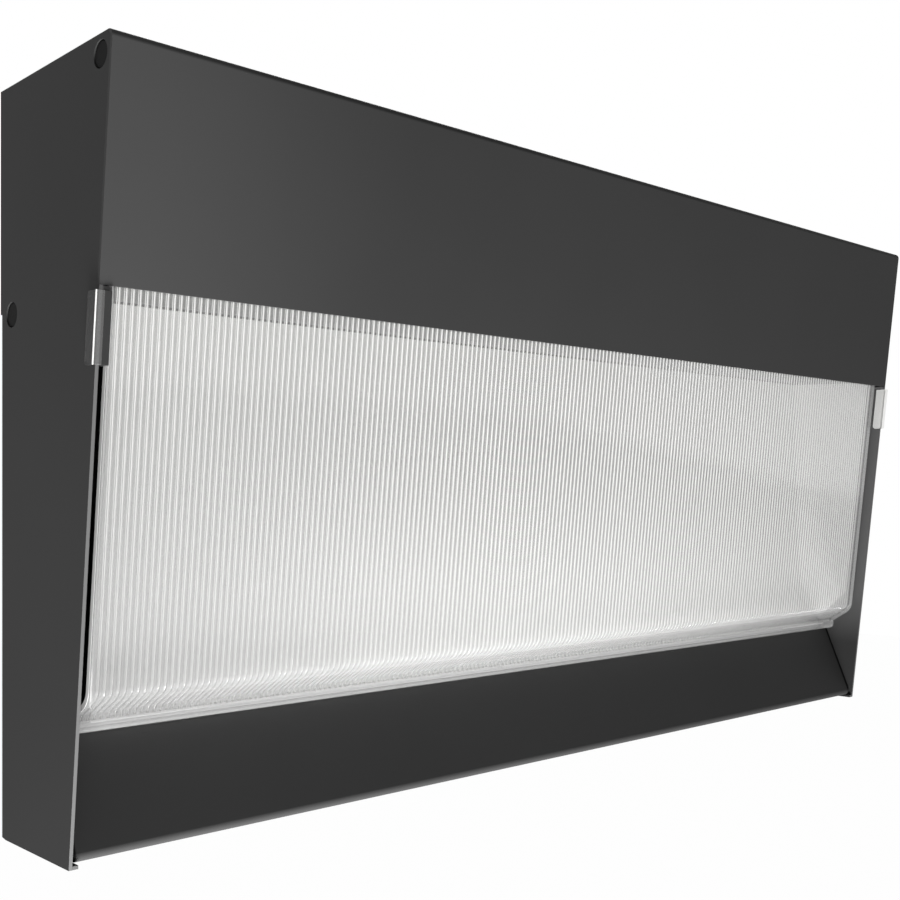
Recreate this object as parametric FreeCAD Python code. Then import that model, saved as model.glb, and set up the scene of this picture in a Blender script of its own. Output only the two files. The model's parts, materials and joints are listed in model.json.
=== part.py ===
import FreeCAD, Part
import math
import os

# Wall pack light: a folded sheet-steel cover with a ribbed clear lens, hinged at its foot to a back pan.
# X runs along the wall, -Y points away from it, +Z is up. Y = 0 is the wall face.
# Heights below are measured from the cover's bottom edge; every piece is set down by WALL_CENTRE as it is
# written, so that the row's origin is the centre of the wall screw pattern, on the wall face.

# ---- driving dimensions, in mm ----
LENGTH = 610.0            # end to end over the side panels
HEIGHT = 320.0            # bottom edge to top face
DEPTH_TOP = 100.0         # wall to the front edge at the top
DEPTH_BOTTOM = 64.0       # wall to the front edge at the bottom
FASCIA_HEIGHT = 94.0      # blank band above the lens
SHEET = 1.5               # cover and back pan steel
BEND = 1.5                # inside bend radius of the steel
THIN_SHEET = 0.8          # reflector steel
SEAM = 0.1                # gap between folded pieces of the cover

# end flanges of the fascia, behind which the top screws clamp
END_FLANGE_FRONT = 4.5    # front edge behind the front plane
END_FLANGE_DROP = 17.0    # from the top face to the lower edge
END_FLANGE_LENGTH = 31.0  # along the top
END_FLANGE_TAPER = 8.0    # rear edge leans forward by this much

# side panels and sill
SIDE_FLANGE = 4.1         # bottom flange of a side panel
SIDE_FLANGE_END = 13.0    # stops this far off the wall
PAN_STEP = 1.4            # lower rear edge of a side panel stops this far off the wall
STEP_DROP = 95.7          # from the top face down to that step
REAR_NICK = (3.5, 0.6)    # lower rear corner cut: depth, height
STOP_TAB = 4.0            # tab that stops a lens clip, out from the side panel
STOP_TAB_DEPTH = 9.0
STOP_TAB_SETBACK = 0.3    # behind the front plane
STOP_TAB_DROP = 0.2       # below the fascia's lower edge
SILL_TOP_Z = 49.9         # top face of the sill's ledge
SILL_LEAN = 22.8          # sill from vertical, degrees
LEDGE = 9.0               # sill's ledge, front to back
LEDGE_UPSTAND = 7.0
SILL_REAR_GAP = 0.9       # bottom's rear edge to the hinge knuckles
CORNER_RELIEF = (2.8, 7.5)  # sill corner cut: width, height
CORNER_RELIEF_DEPTH = 11.0

# side screws, their nuts and the doublers they clamp
SCREW_HEAD = 10.2
SCREW_HEAD_THICK = 1.1
SCREW_SHANK = 5.0
SCREW_LENGTH = 9.0
SHANK_SIDES = 12          # shanks, nut bores and knuckles are drawn as bars with this many sides
SCREW_ACCESS = 10.8       # hole in the side panel round a screw head
SHANK_CLEAR = 0.4         # on the diameter, holes over shanks
NUT_ACROSS = 8.0
NUT_THICK = 4.0
NUT_GAP = 0.4             # nut to the ear in front of it
TOP_SCREW = (9.7, 7.7)    # from the top front corner: back, down
PAN_SCREW = (11.2, 96.8)  # from the wall, and down from the top face
DOUBLER = 1.2             # plate welded inside a side panel
DOUBLER_GAP = 0.4         # doubler to the back pan's ear
DOUBLER_TOP_GAP = 0.4     # below the cover's top sheet
DOUBLER_FRONT = 4.2       # front edge behind the front plane
DOUBLER_NOSE = 16.0       # height of that front edge
DOUBLER_BACK = 2.0        # rear edge off the wall
DOUBLER_BORDER = 9.0      # sheet round the lower screw
DOUBLER_TOE = (15.0, 22.0)  # slanted lower front corner: back, up
DOUBLER_WAIST = (60.0, 44.0)  # inner corner: from the wall, down from the top face

# lens
LENS_SETBACK = 3.8        # lens face behind the front edges
LENS_WALL = 2.2           # lens thickness without its ribs
RIB_HEIGHT = 0.9          # ribs on the inner face
RIB_COUNT = 195
RIB_MARGIN = 2.75         # plain strip at each end of the lens
LENS_SIDE_GAP = 5.75      # lens end to side panel, mean of both ends
LENS_SLACK = -0.9         # the lens lies this far off centre
LENS_RISE = 10.0          # how far the lens runs up behind the fascia
LENS_BEND_RADIUS = 10.0   # outer face of the bend above the foot
LENS_BEND_FLATS = 1       # flats that stand for that bend
LENS_CORNER_Z = 64.9      # where face and lower slope would meet
LENS_SLOPE = 28.4         # lower slope below level, degrees
LENS_SLOPE_RUN = 14.4     # depth of the lower slope from that corner
LENS_LIP_Z = 50.4         # underside of the lens foot
LENS_FOOT = 12.0          # foot, front to back
LENS_FOOT_BEND = 0.6
LENS_FOOT_LAP = 0.4       # plain lip over the ends of the ribs

# rail and foam that hold the lens's top edge
RAIL_SHEET = 1.0
RAIL_BEND = 0.6
RAIL_INSET = 6.0          # rail and foam stop short of the lens's ends
RAIL_FLANGE = 10.0        # welded to the fascia
RAIL_LIP = 7.5            # behind the lens
RAIL_OVER = 1.5           # rail's web above the lens
RAIL_BEHIND = 0.6         # rail's lip behind the ribs
RAIL_SEAM = 0.1
GASKET_LOW = 3.0          # foam starts this far above the fascia's lower edge
GASKET_GAP = (0.12, 0.08)  # foam to the fascia, foam to the lens

# clips over the side panels' front edges
CLIP_HEIGHT = 28.0
CLIP_WALL = 1.8
CLIP_WEB = 1.3
CLIP_REACH = 5.4          # clip legs, front to back
CLIP_INNER = 3.3          # inner leg, fills the gap beside the lens
CLIP_PLAY = 0.1
CLIP_CORNER = 2.0
CLIP_TOP_GAP = 0.3        # under the stop tab

# reflector
REFLECTOR_RISE = 4.0      # top edge above the fascia's lower edge
REFLECTOR_SPLAY = 24.0    # each end wall leans in by this much from lens to back, at the top
REFLECTOR_END_INSET = 2.8   # end wall's front edge in from the lens end
REFLECTOR_FOOT_RADIUS = 8.0
REFLECTOR_FOOT_GAP = 1.2  # above the lens foot
REFLECTOR_FOOT_FRONT = 1.2  # behind the lip's inner face
REFLECTOR_FOOT_INSET = 4.0  # foot's ends in from the lens ends
END_WALL_LIFT = 4.8       # end walls start this far above the foot
END_WALL_TOE = 1.8        # end walls start this far behind the foot's front edge
END_WALL_BEND_CLEAR = 13.0  # their front edge follows the lens from here, above its corner
CHAMBER_GAP = 1.5         # ribs to the end walls' front edges

# lamp tray, its brackets and boards
TRAY_RISE = 18.0          # underside above the fascia's lower edge
TRAY_END_GAP = 12.3       # tray's ends to the doublers
TRAY_DEPTH = 42.0
TRAY_SHEET = 2.0
TRAY_BEND = 1.0
TRAY_FLANGE = 16.0
TRAY_LAP = 8.0            # rear flange behind the reflector's top edge
TRAY_SIDE_GAP = 1.0       # rear flange to the reflector's end walls
TRAY_SCREW_INSET = 6.0    # screws in from the tray's ends
BRACKET_FOOT = 16.0       # bracket under the tray's end
BRACKET_WIDTH = 30.0
BRACKET_DROP = 30.0       # its top edge below the cover's top face
BOARD_DEPTH = 24.0
BOARD_THICK = 1.6
BOARD_GAP = 5.0
BOARD_END_GAP = 11.0      # outer boards' ends to the tray's ends
BOARD_NOTCH = (4.0, 3.0)  # notch for a fixing in each end: depth, width
LEDS_PER_BOARD = 16
LED_MARGIN = 8.0
LED = (3.0, 3.0, 0.8)

# hinges
HINGE_Y = -8.0
HINGE_Z = 5.0
HINGE_INSET = 70.0        # hinge centres in from the cover's ends
HINGE_LENGTH = 60.0
END_KNUCKLE = 15.0        # length of each outer knuckle
PIN_RADIUS = 1.5
PIN_CLEARANCE = 0.06      # knuckle bore over the pin, on the radius
KNUCKLE_RADIUS = 2.8
KNUCKLE_GAP = 0.4
PIN_HEAD = 1.0
PIN_HEAD_RADIUS = 2.4
HINGE_PLATE = 36.0        # top of the wall bracket above the pin
HINGE_PLATE_GAP = 0.4     # plate's lower edge above the knuckle
HINGE_LEAF = 24.0         # cover leaf, front to back

# back pan
PAN_BOTTOM_Z = 15.0
PAN_TOP_CLEAR = 4.2       # top face of the cover to the pan's top edge
TOP_RAIL = (13.0, 12.0)   # angle along the pan's top edge: depth, height
TOP_SEAL = 2.0
TOP_SEAL_WIDTH = 8.0
TOP_SEAL_INSET = (4.0, 2.5)  # from the angle's ends, from the pan's face
EAR_HEIGHT = 30.0
EAR_DEPTH = 17.0
EAR_SLOT_CLEAR = 1.2      # on the width, slot over the screw's shank
WALL_SPACING_X = 508.0
WALL_SPACING_Z = 220.0
WALL_HOLE = 7.0
BOX_SPACING = 88.9        # slots for an outlet box, along X
BOX_SLOT = (5.0, 14.0)    # slot width and length
CABLE_HOLE = 28.0
CABLE_BORE = 16.0
GROMMET_FLANGE = 3.5      # beyond the hole's edge
GROMMET_THICK = 3.0
BEAD_LENGTH = 150.0       # stiffening beads pressed in the pan
BEAD_END_GAP = 26.9       # outer beads to the pan's ends
BEAD_RISE = (100.0, -90.0)  # their heights from the middle
BEAD_HEIGHT = 2.5
BEAD_BASE = 9.0
BEAD_CREST = 4.0
BEAD_HOLLOW = (6.0, 2.4)  # hollow behind a bead: base and crest width

# parts on the back pan
DRIVER = (216.0, 28.0, 58.0)
DRIVER_END_GAP = 29.9     # its foot to the pan's end
DRIVER_DROP = 28.0        # its middle below the pan's middle
DRIVER_CHAMFER = 2.0
DRIVER_FOOT = 12.0
DRIVER_FOOT_SHEET = 1.2
DRIVER_FOOT_WIDTH = 30.0
TERMINAL_X = -72.0
TERMINAL_DROP = 60.0
TERMINAL_POLES = 3
TERMINAL_PITCH = 12.0
TERMINAL_BASE = (9.0, 24.0)   # depth and height of its base
TERMINAL_TOWER = (9.2, 18.0, 18.0)  # width, depth from the pan, height
TERMINAL_WELL = (6.0, 8.0)    # width and depth of a screw well
TERMINAL_SCREW = (2.7, 4.0)   # radius and length
SURGE = (44.0, 24.0, 30.0)
SURGE_X = -150.0
SURGE_DROP = 61.0
SURGE_CHAMFER = 3.0
EARTH_SCREW = (5.0, 3.5)      # radius and height of its head
EARTH_DROP = 32.0
SMALL_SCREW = 4.0
SMALL_HEAD = (8.0, 1.6)       # hexagon head: width over corners, height
CUT = 1.0                     # cutters run this far past a face

# ---- values worked out from them ----
HALF = LENGTH / 2
INNER_HALF = HALF - SHEET
WALL_CENTRE = HEIGHT / 2  # height of the wall pattern's centre
LEAN = (DEPTH_TOP - DEPTH_BOTTOM) / HEIGHT
FASCIA_Z = HEIGHT - FASCIA_HEIGHT
LENS_HALF = INNER_HALF - LENS_SIDE_GAP
LENS_TOP_Z = FASCIA_Z + LENS_RISE
LENS_BACK = LENS_SETBACK + LENS_WALL + RIB_HEIGHT
PAN_FACE_Y = -SHEET
PAN_TOP_Z = HEIGHT - PAN_TOP_CLEAR
DOUBLER_INNER = INNER_HALF - DOUBLER
PAN_HALF = DOUBLER_INNER - DOUBLER_GAP
STOP_TAB_TOP_Z = FASCIA_Z - STOP_TAB_DROP
CLIP_TOP_Z = STOP_TAB_TOP_Z - SHEET - CLIP_TOP_GAP
TOP_SCREW_Y = -DEPTH_TOP + TOP_SCREW[0]
TOP_SCREW_Z = HEIGHT - TOP_SCREW[1]
PAN_SCREW_Y = -PAN_SCREW[0]
PAN_SCREW_Z = HEIGHT - PAN_SCREW[1]
REFLECTOR_TOP_Z = FASCIA_Z + REFLECTOR_RISE
TRAY_Z = FASCIA_Z + TRAY_RISE
TRAY_HALF = DOUBLER_INNER - TRAY_END_GAP
BOARD_LENGTH = (2 * (TRAY_HALF - BOARD_END_GAP) - 2 * BOARD_GAP) / 3
HINGE_X = HALF - HINGE_INSET
DRIVER_X = PAN_HALF - DRIVER_END_GAP - DRIVER_FOOT - DRIVER[0] / 2
DRIVER_Z = WALL_CENTRE - DRIVER_DROP
TERMINAL_Z = WALL_CENTRE - TERMINAL_DROP

ALONG_X = FreeCAD.Vector(1, 0, 0)
OUT = FreeCAD.Vector(0, -1, 0)
UP = FreeCAD.Vector(0, 0, 1)


def front_y(z):
    """Y of the sloped front plane at height z."""
    return -(DEPTH_BOTTOM + LEAN * z)


def at(y, z):
    """A point of a section drawn in the YZ plane."""
    return FreeCAD.Vector(0, y, z)


def moved(shape, x=0.0, y=0.0, z=0.0):
    copy = shape.copy()
    copy.translate(FreeCAD.Vector(x, y, z))
    return copy


def mirrored(shape):
    """The same piece on the other side of the YZ plane."""
    return shape.mirror(FreeCAD.Vector(0, 0, 0), FreeCAD.Vector(1, 0, 0))


def joined(shapes):
    """One solid out of touching or overlapping ones."""
    body = shapes[0]
    for shape in shapes[1:]:
        body = body.fuse(shape)
    return body.removeSplitter()


def group(shapes):
    """Separate solids that share one node."""
    return Part.makeCompound(shapes)


def save(name, shape):
    """Write one piece, set down so that the origin is the wall pattern's centre."""
    piece = moved(shape, z=-WALL_CENTRE)
    piece.exportStep("parts/" + name + ".step")
    print(name, len(piece.Solids), piece.isValid(), round(piece.Volume, 1))


def block(x0, x1, y0, y1, z0, z1):
    return Part.makeBox(x1 - x0, y1 - y0, z1 - z0, FreeCAD.Vector(x0, y0, z0))


def rod(x0, x1, y, z, radius):
    """A round bar along X."""
    return Part.makeCylinder(radius, x1 - x0, FreeCAD.Vector(x0, y, z), ALONG_X)


def prism(base, direction, length, radius, sides):
    """A straight bar with a regular outline; direction runs along one of the axes."""
    across = FreeCAD.Vector(direction.z, direction.x, direction.y)
    upright = direction.cross(across)
    corners = []
    for number in range(sides):
        turn = 2 * math.pi * number / sides
        corners.append(base + across * (radius * math.cos(turn)) + upright * (radius * math.sin(turn)))
    return Part.Face(Part.makePolygon(corners + [corners[0]])).extrude(direction * length)


def drill(x, z, radius):
    """A cutter through the back pan's sheet."""
    return Part.makeCylinder(radius, SHEET + 2 * CUT, FreeCAD.Vector(x, CUT, z), OUT)


def chamfered_block(x0, x1, y0, y1, z0, z1, size, axis):
    """A block whose edges along one axis are cut off."""
    body = block(x0, x1, y0, y1, z0, z1)
    edges = [edge for edge in body.Edges if abs(edge.tangentAt(0).dot(axis)) > 0.99]
    return body.makeChamfer(size, edges)


def shifted_path(points, distance):
    """The path moved to the left of the way it runs, with mitred corners."""
    count = len(points)
    normals = []
    for first, second in zip(points, points[1:]):
        run = (second - first).normalize()
        normals.append(at(-run.z, run.y))
    result = [points[0] + normals[0] * distance]
    for index in range(1, count - 1):
        before, after = normals[index - 1], normals[index]
        bisector = before + after
        result.append(points[index] + bisector * (2 * distance / bisector.dot(bisector)))
    result.append(points[-1] + normals[-1] * distance)
    return result


def corner_turns(points):
    """+1 where the path turns left, -1 where it turns right."""
    turns = []
    for before, corner, after in zip(points, points[1:], points[2:]):
        first, second = corner - before, after - corner
        turns.append(1 if first.y * second.z - first.z * second.y > 0 else -1)
    return turns


def rounded_edges(points, radii):
    """Straight runs joined by tangent arcs, one radius for each inner corner."""
    edges = []
    start = points[0]
    for index, radius in enumerate(radii, start=1):
        before, corner, after = points[index - 1], points[index], points[index + 1]
        into = (corner - before).normalize()
        out = (after - corner).normalize()
        turn = into.getAngle(out)
        cut = radius * math.tan(turn / 2)
        arc_start, arc_end = corner - into * cut, corner + out * cut
        middle = corner + (out - into).normalize() * radius * (1 / math.cos(turn / 2) - 1)
        edges.append(Part.LineSegment(start, arc_start).toShape())
        edges.append(Part.Arc(arc_start, middle, arc_end).toShape())
        start = arc_end
    edges.append(Part.LineSegment(start, points[-1]).toShape())
    return edges


def folded_section(points, thickness, bend):
    """Face of a folded sheet: its given side, and the other side to the left of the path."""
    other = shifted_path(points, thickness)
    turns = corner_turns(points)
    near = [bend + thickness if turn > 0 else bend for turn in turns]
    far = [bend if turn > 0 else bend + thickness for turn in turns]
    edges = rounded_edges(points, near)
    edges += rounded_edges(other, far)
    edges.append(Part.LineSegment(points[0], other[0]).toShape())
    edges.append(Part.LineSegment(points[-1], other[-1]).toShape())
    return Part.Face(Part.Wire(Part.__sortEdges__(edges)))


def extruded(face, x0, x1):
    """A section in the YZ plane, drawn out along X."""
    return moved(face, x=x0).extrude(FreeCAD.Vector(x1 - x0, 0, 0))


def plate(points, x0, x1):
    """A flat plate with a straight-sided outline in the YZ plane."""
    face = Part.Face(Part.makePolygon(points + [points[0]]))
    return extruded(face, x0, x1)


# ---- cover ----
def fascia_cover():
    """Top and fascia in one fold; the fascia covers the side panels' front edges."""
    path = [at(0, HEIGHT), at(front_y(HEIGHT), HEIGHT), at(front_y(FASCIA_Z), FASCIA_Z)]
    body = extruded(folded_section(path, SHEET, BEND), -HALF, HALF)
    notch_front = front_y(HEIGHT) + SHEET + BEND
    flange_x = DOUBLER_INNER - SEAM
    low_z, high_z = HEIGHT - END_FLANGE_DROP, HEIGHT - SHEET
    front_low, front_high = front_y(low_z) + END_FLANGE_FRONT, front_y(high_z) + END_FLANGE_FRONT
    rear = front_high + END_FLANGE_LENGTH
    flange = [at(front_low, low_z), at(front_high, high_z), at(rear, high_z)]
    flange.append(at(rear - END_FLANGE_TAPER, low_z))
    pieces = []
    for side in (-1, 1):
        x0, x1 = sorted((side * INNER_HALF, side * (HALF + CUT)))
        body = body.cut(block(x0, x1, notch_front, CUT, HEIGHT - 2 * SHEET, HEIGHT + CUT))
        x0, x1 = sorted((side * flange_x, side * (flange_x - SHEET)))
        hole = rod(x0 - CUT, x1 + CUT, TOP_SCREW_Y, TOP_SCREW_Z, (SCREW_SHANK + SHANK_CLEAR) / 2)
        pieces.append(plate(flange, x0, x1).cut(hole))
    return joined([body] + pieces)


def side_panel_face():
    """Outline of a side panel: rounded at the top fold, stepped and clipped at the wall."""
    step_z = HEIGHT - STEP_DROP
    front = [at(front_y(0), 0), at(front_y(HEIGHT), HEIGHT), at(0, HEIGHT)]
    rear = [at(0, HEIGHT), at(0, step_z), at(-PAN_STEP, step_z), at(-PAN_STEP, REAR_NICK[1]),
            at(-PAN_STEP - REAR_NICK[0], 0), at(front_y(0), 0)]
    edges = rounded_edges(front, [BEND + SHEET])
    edges += [Part.LineSegment(start, end).toShape() for start, end in zip(rear, rear[1:])]
    return Part.Face(Part.Wire(Part.__sortEdges__(edges)))


def side_panel(cover):
    """Right-hand side panel with its bottom flange and the tab above the lens clip."""
    body = extruded(side_panel_face(), INNER_HALF, HALF).cut(cover)
    flange = block(HALF - SIDE_FLANGE, INNER_HALF, front_y(0), -SIDE_FLANGE_END, 0, SHEET)
    tab_front = front_y(STOP_TAB_TOP_Z) + STOP_TAB_SETBACK
    tab = block(INNER_HALF - STOP_TAB, INNER_HALF, tab_front, tab_front + STOP_TAB_DEPTH,
                STOP_TAB_TOP_Z - SHEET, STOP_TAB_TOP_Z)
    body = joined([body, flange, tab])
    for y, z in ((TOP_SCREW_Y, TOP_SCREW_Z), (PAN_SCREW_Y, PAN_SCREW_Z)):
        body = body.cut(rod(INNER_HALF - CUT, HALF + CUT, y, z, SCREW_ACCESS / 2))
    return body


def side_doubler():
    """Plate welded inside the right-hand side panel; the screw heads clamp on it."""
    low_z = PAN_SCREW_Z - DOUBLER_BORDER
    top_z = HEIGHT - SHEET - DOUBLER_TOP_GAP
    nose_z = top_z - DOUBLER_NOSE
    toe_y = PAN_SCREW_Y - DOUBLER_BORDER
    outline = [at(front_y(nose_z) + DOUBLER_FRONT, nose_z), at(front_y(top_z) + DOUBLER_FRONT, top_z),
               at(-DOUBLER_BACK, top_z), at(-DOUBLER_BACK, low_z), at(toe_y, low_z),
               at(toe_y - DOUBLER_TOE[0], low_z + DOUBLER_TOE[1]),
               at(-DOUBLER_WAIST[0], HEIGHT - DOUBLER_WAIST[1])]
    body = plate(outline, DOUBLER_INNER, INNER_HALF)
    for y, z in ((TOP_SCREW_Y, TOP_SCREW_Z), (PAN_SCREW_Y, PAN_SCREW_Z)):
        hole = (SCREW_SHANK + SHANK_CLEAR) / 2
        body = body.cut(rod(DOUBLER_INNER - CUT, INNER_HALF + CUT, y, z, hole))
    return body


def side_screw(y, z):
    """Low black head in the side panel's hole, shank through the layers behind it."""
    head = rod(INNER_HALF, INNER_HALF + SCREW_HEAD_THICK, y, z, SCREW_HEAD / 2)
    place = FreeCAD.Vector(INNER_HALF, y, z)
    return joined([head, prism(place, -ALONG_X, SCREW_LENGTH, SCREW_SHANK / 2, SHANK_SIDES)])


def side_nut(y, z):
    """Square weld nut on the screw, behind the inner layers."""
    x1 = PAN_HALF - SHEET - NUT_GAP
    half = NUT_ACROSS / 2
    body = block(x1 - NUT_THICK, x1, y - half, y + half, z - half, z + half)
    start = FreeCAD.Vector(x1 - NUT_THICK - CUT, y, z)
    return body.cut(prism(start, ALONG_X, NUT_THICK + 2 * CUT, SCREW_SHANK / 2, SHANK_SIDES))


def both_sides(piece):
    return group([mirrored(piece), piece])


def sill_path():
    """Outer side of the bottom, sill and ledge, from the rear hem round to the upstand."""
    lean = math.tan(math.radians(SILL_LEAN))
    bottom_z = SHEET + SEAM
    top_y = front_y(0) + (SILL_TOP_Z - bottom_z) * lean
    rear_y = HINGE_Y - KNUCKLE_RADIUS - SILL_REAR_GAP
    return [at(rear_y, bottom_z), at(front_y(0), bottom_z), at(top_y, SILL_TOP_Z),
            at(top_y + LEDGE, SILL_TOP_Z), at(top_y + LEDGE, SILL_TOP_Z + LEDGE_UPSTAND)]


def sill_panel():
    """Bottom, sill and ledge folded from one sheet, with its lower front corners cut away."""
    end = INNER_HALF - SEAM
    points = list(reversed(sill_path()))
    body = extruded(folded_section(points, SHEET, BEND), -end, end)
    width, height = CORNER_RELIEF
    front = front_y(0) - CUT
    for side in (-1, 1):
        corner = [FreeCAD.Vector(side * (end + CUT), front, SHEET + height),
                  FreeCAD.Vector(side * end, front, SHEET + height),
                  FreeCAD.Vector(side * (end - width), front, 0),
                  FreeCAD.Vector(side * (end + CUT), front, 0)]
        face = Part.Face(Part.makePolygon(corner + [corner[0]]))
        body = body.cut(face.extrude(-OUT * (CORNER_RELIEF_DEPTH + CUT)))
    return body


# ---- lens ----
def lens_corner():
    y = front_y(LENS_CORNER_Z) + LENS_SETBACK
    return at(y, LENS_CORNER_Z)


def lens_slope_end():
    corner = lens_corner()
    drop = LENS_SLOPE_RUN * math.tan(math.radians(LENS_SLOPE))
    return corner + at(LENS_SLOPE_RUN, -drop)


def bend_path(before, corner, after, radius, flats):
    """A path round one corner whose bend is drawn as a few flats between points of its arc."""
    into = (corner - before).normalize()
    out = (after - corner).normalize()
    turn = into.getAngle(out)
    start = corner - into * (radius * math.tan(turn / 2))
    side = (out - into * into.dot(out)).normalize()
    centre = start + side * radius
    points = [before]
    for number in range(flats + 1):
        angle = turn * number / flats
        points.append(centre - side * (radius * math.cos(angle)) + into * (radius * math.sin(angle)))
    return points + [after]


def lens():
    """Clear cover: smooth outside, upright ribs inside that follow the bend down to the foot."""
    top = at(front_y(LENS_TOP_Z) + LENS_SETBACK, LENS_TOP_Z)
    path = bend_path(top, lens_corner(), lens_slope_end(), LENS_BEND_RADIUS, LENS_BEND_FLATS)
    x0, x1 = LENS_SLACK - LENS_HALF, LENS_SLACK + LENS_HALF
    pitch = (x1 - x0 - 2 * RIB_MARGIN) / RIB_COUNT
    face, valley, crest = path, shifted_path(path, LENS_WALL), shifted_path(path, LENS_WALL + RIB_HEIGHT)
    outline = [(x0, face), (x0, valley), (x0 + RIB_MARGIN, valley)]
    for index in range(RIB_COUNT):
        start = x0 + RIB_MARGIN + index * pitch
        outline.append((start + pitch / 2, crest))
        outline.append((start + pitch, valley))
    outline += [(x1, valley), (x1, face)]
    sections = []
    for place in range(len(path)):
        points = [FreeCAD.Vector(x, 0, 0) + line[place] for x, line in outline]
        sections.append(Part.makePolygon(points + [points[0]]))
    return joined([Part.makeLoft(sections, True, True), lens_foot(x0, x1)])


def lens_foot(x0, x1):
    """Plain lip below the ribs, turned back into a foot that rests on the ledge."""
    end = lens_slope_end()
    slope = (end - lens_corner()).normalize()
    path = [end - slope * LENS_FOOT_LAP, end, at(end.y, LENS_LIP_Z), at(end.y + LENS_FOOT, LENS_LIP_Z)]
    return extruded(folded_section(path, LENS_WALL, LENS_FOOT_BEND), x0, x1)


def lens_rail():
    """Folded rail behind the fascia that holds the lens's top edge."""
    behind = front_y(LENS_TOP_Z) + LENS_BACK + RAIL_BEHIND
    web_z = LENS_TOP_Z + RAIL_OVER
    high_z, low_z = web_z + RAIL_FLANGE, web_z - RAIL_LIP
    fascia_back = SHEET + RAIL_SEAM
    path = [at(front_y(high_z) + fascia_back, high_z), at(front_y(web_z) + fascia_back, web_z),
            at(behind, web_z), at(behind + LEAN * (web_z - low_z), low_z)]
    reach = LENS_HALF - RAIL_INSET
    return extruded(folded_section(path, RAIL_SHEET, RAIL_BEND), -reach, reach)


def lens_gasket():
    """Foam strip between the fascia's back and the lens's top edge."""
    near = SHEET + GASKET_GAP[0]
    far = LENS_SETBACK - GASKET_GAP[1]
    points = []
    for z, depth in ((FASCIA_Z + GASKET_LOW, near), (LENS_TOP_Z, near), (LENS_TOP_Z, far),
                     (FASCIA_Z + GASKET_LOW, far)):
        points.append(at(front_y(z) + depth, z))
    return plate(points, -LENS_HALF + RAIL_INSET, LENS_HALF - RAIL_INSET)


def clip_section(z):
    """U of a right-hand lens clip at height z: outer leg, web and inner leg."""
    face_y = front_y(z)
    outer = HALF + CLIP_PLAY
    inner = INNER_HALF - CLIP_PLAY
    back = face_y + CLIP_REACH
    web_y = face_y - CLIP_PLAY
    outline = [(outer, back), (outer + CLIP_WALL, back), (outer + CLIP_WALL, web_y - CLIP_WEB),
               (inner - CLIP_INNER, web_y - CLIP_WEB), (inner - CLIP_INNER, back), (inner, back),
               (inner, web_y), (outer, web_y)]
    points = [FreeCAD.Vector(x, y, z) for x, y in outline]
    return Part.makePolygon(points + [points[0]])


def lens_clip():
    """Clear clip over the right-hand side panel's front edge, beside the lens."""
    low_z = CLIP_TOP_Z - CLIP_HEIGHT
    body = Part.makeLoft([clip_section(low_z), clip_section(CLIP_TOP_Z)], True, True)
    middle_y = front_y(low_z) + CLIP_REACH / 2
    corners = [edge for edge in body.Edges
               if abs(edge.tangentAt(0).dot(ALONG_X)) > 0.99 and edge.CenterOfMass.y > middle_y]
    return body.makeFillet(CLIP_CORNER, corners)


# ---- reflector and lamp tray ----
def reflector_back_y():
    """Front face of the reflector's flat back, which lies on the sill's upstand."""
    return sill_path()[3].y - THIN_SHEET


def reflector_foot_z():
    return LENS_LIP_Z + LENS_WALL + REFLECTOR_FOOT_GAP + THIN_SHEET


def chamber_front(z):
    """Y just behind the lens's ribs at height z."""
    return front_y(z) + LENS_BACK + CHAMBER_GAP


def foot_front_y():
    """Front edge of the reflector's foot, just behind the lens's lip."""
    return lens_slope_end().y + LENS_WALL + REFLECTOR_FOOT_FRONT


def end_wall_x(y, z):
    """Inner face of the right-hand end wall: upright at the lens, leaning in towards the back."""
    lean = REFLECTOR_SPLAY / (reflector_back_y() - chamber_front(REFLECTOR_TOP_Z))
    return LENS_HALF - REFLECTOR_END_INSET - lean * (y - chamber_front(z))


def end_wall():
    """Right-hand end wall of the reflector, a flat sheet."""
    low_z, high_z = reflector_foot_z() + END_WALL_LIFT, REFLECTOR_TOP_Z
    above_bend = LENS_CORNER_Z + END_WALL_BEND_CLEAR
    corners = []
    for y, z in ((chamber_front(above_bend), above_bend), (chamber_front(high_z), high_z),
                 (reflector_back_y(), high_z), (reflector_back_y(), low_z),
                 (foot_front_y() + END_WALL_TOE, low_z)):
        corners.append(FreeCAD.Vector(end_wall_x(y, z), y, z))
    face = Part.Face(Part.makePolygon(corners + [corners[0]]))
    outward = face.normalAt(0, 0)
    if outward.x < 0:
        outward = outward * -1
    return face.extrude(outward * THIN_SHEET)


def reflector():
    """White sheet: flat back, curved foot that comes forward over the lens foot."""
    back, foot_z = reflector_back_y(), reflector_foot_z()
    path = [at(back, REFLECTOR_TOP_Z), at(back, foot_z), at(foot_front_y(), foot_z)]
    reach = LENS_HALF - REFLECTOR_FOOT_INSET
    body = extruded(folded_section(path, THIN_SHEET, REFLECTOR_FOOT_RADIUS), -reach, reach)
    for side in (-1, 1):
        corners = []
        for y, z in ((chamber_front(0), 0), (chamber_front(HEIGHT), HEIGHT), (0, HEIGHT), (0, 0)):
            corners.append(FreeCAD.Vector(side * end_wall_x(y, z), y, z))
        face = Part.Face(Part.makePolygon(corners + [corners[0]]))
        body = body.cut(face.extrude(ALONG_X * (side * HALF)))
    return body


def tray_rear_y():
    """Front face of the tray's rear flange, which carries the reflector's top edge."""
    return reflector_back_y() + THIN_SHEET


def tray_middle_y():
    return tray_rear_y() - TRAY_DEPTH / 2


def small_screw(place, direction, length):
    """Hexagon-headed screw whose head's underside is at the given place."""
    head = prism(place, direction, SMALL_HEAD[1], SMALL_HEAD[0] / 2, 6)
    return joined([head, prism(place, -direction, length, SMALL_SCREW / 2, SHANK_SIDES)])


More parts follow.
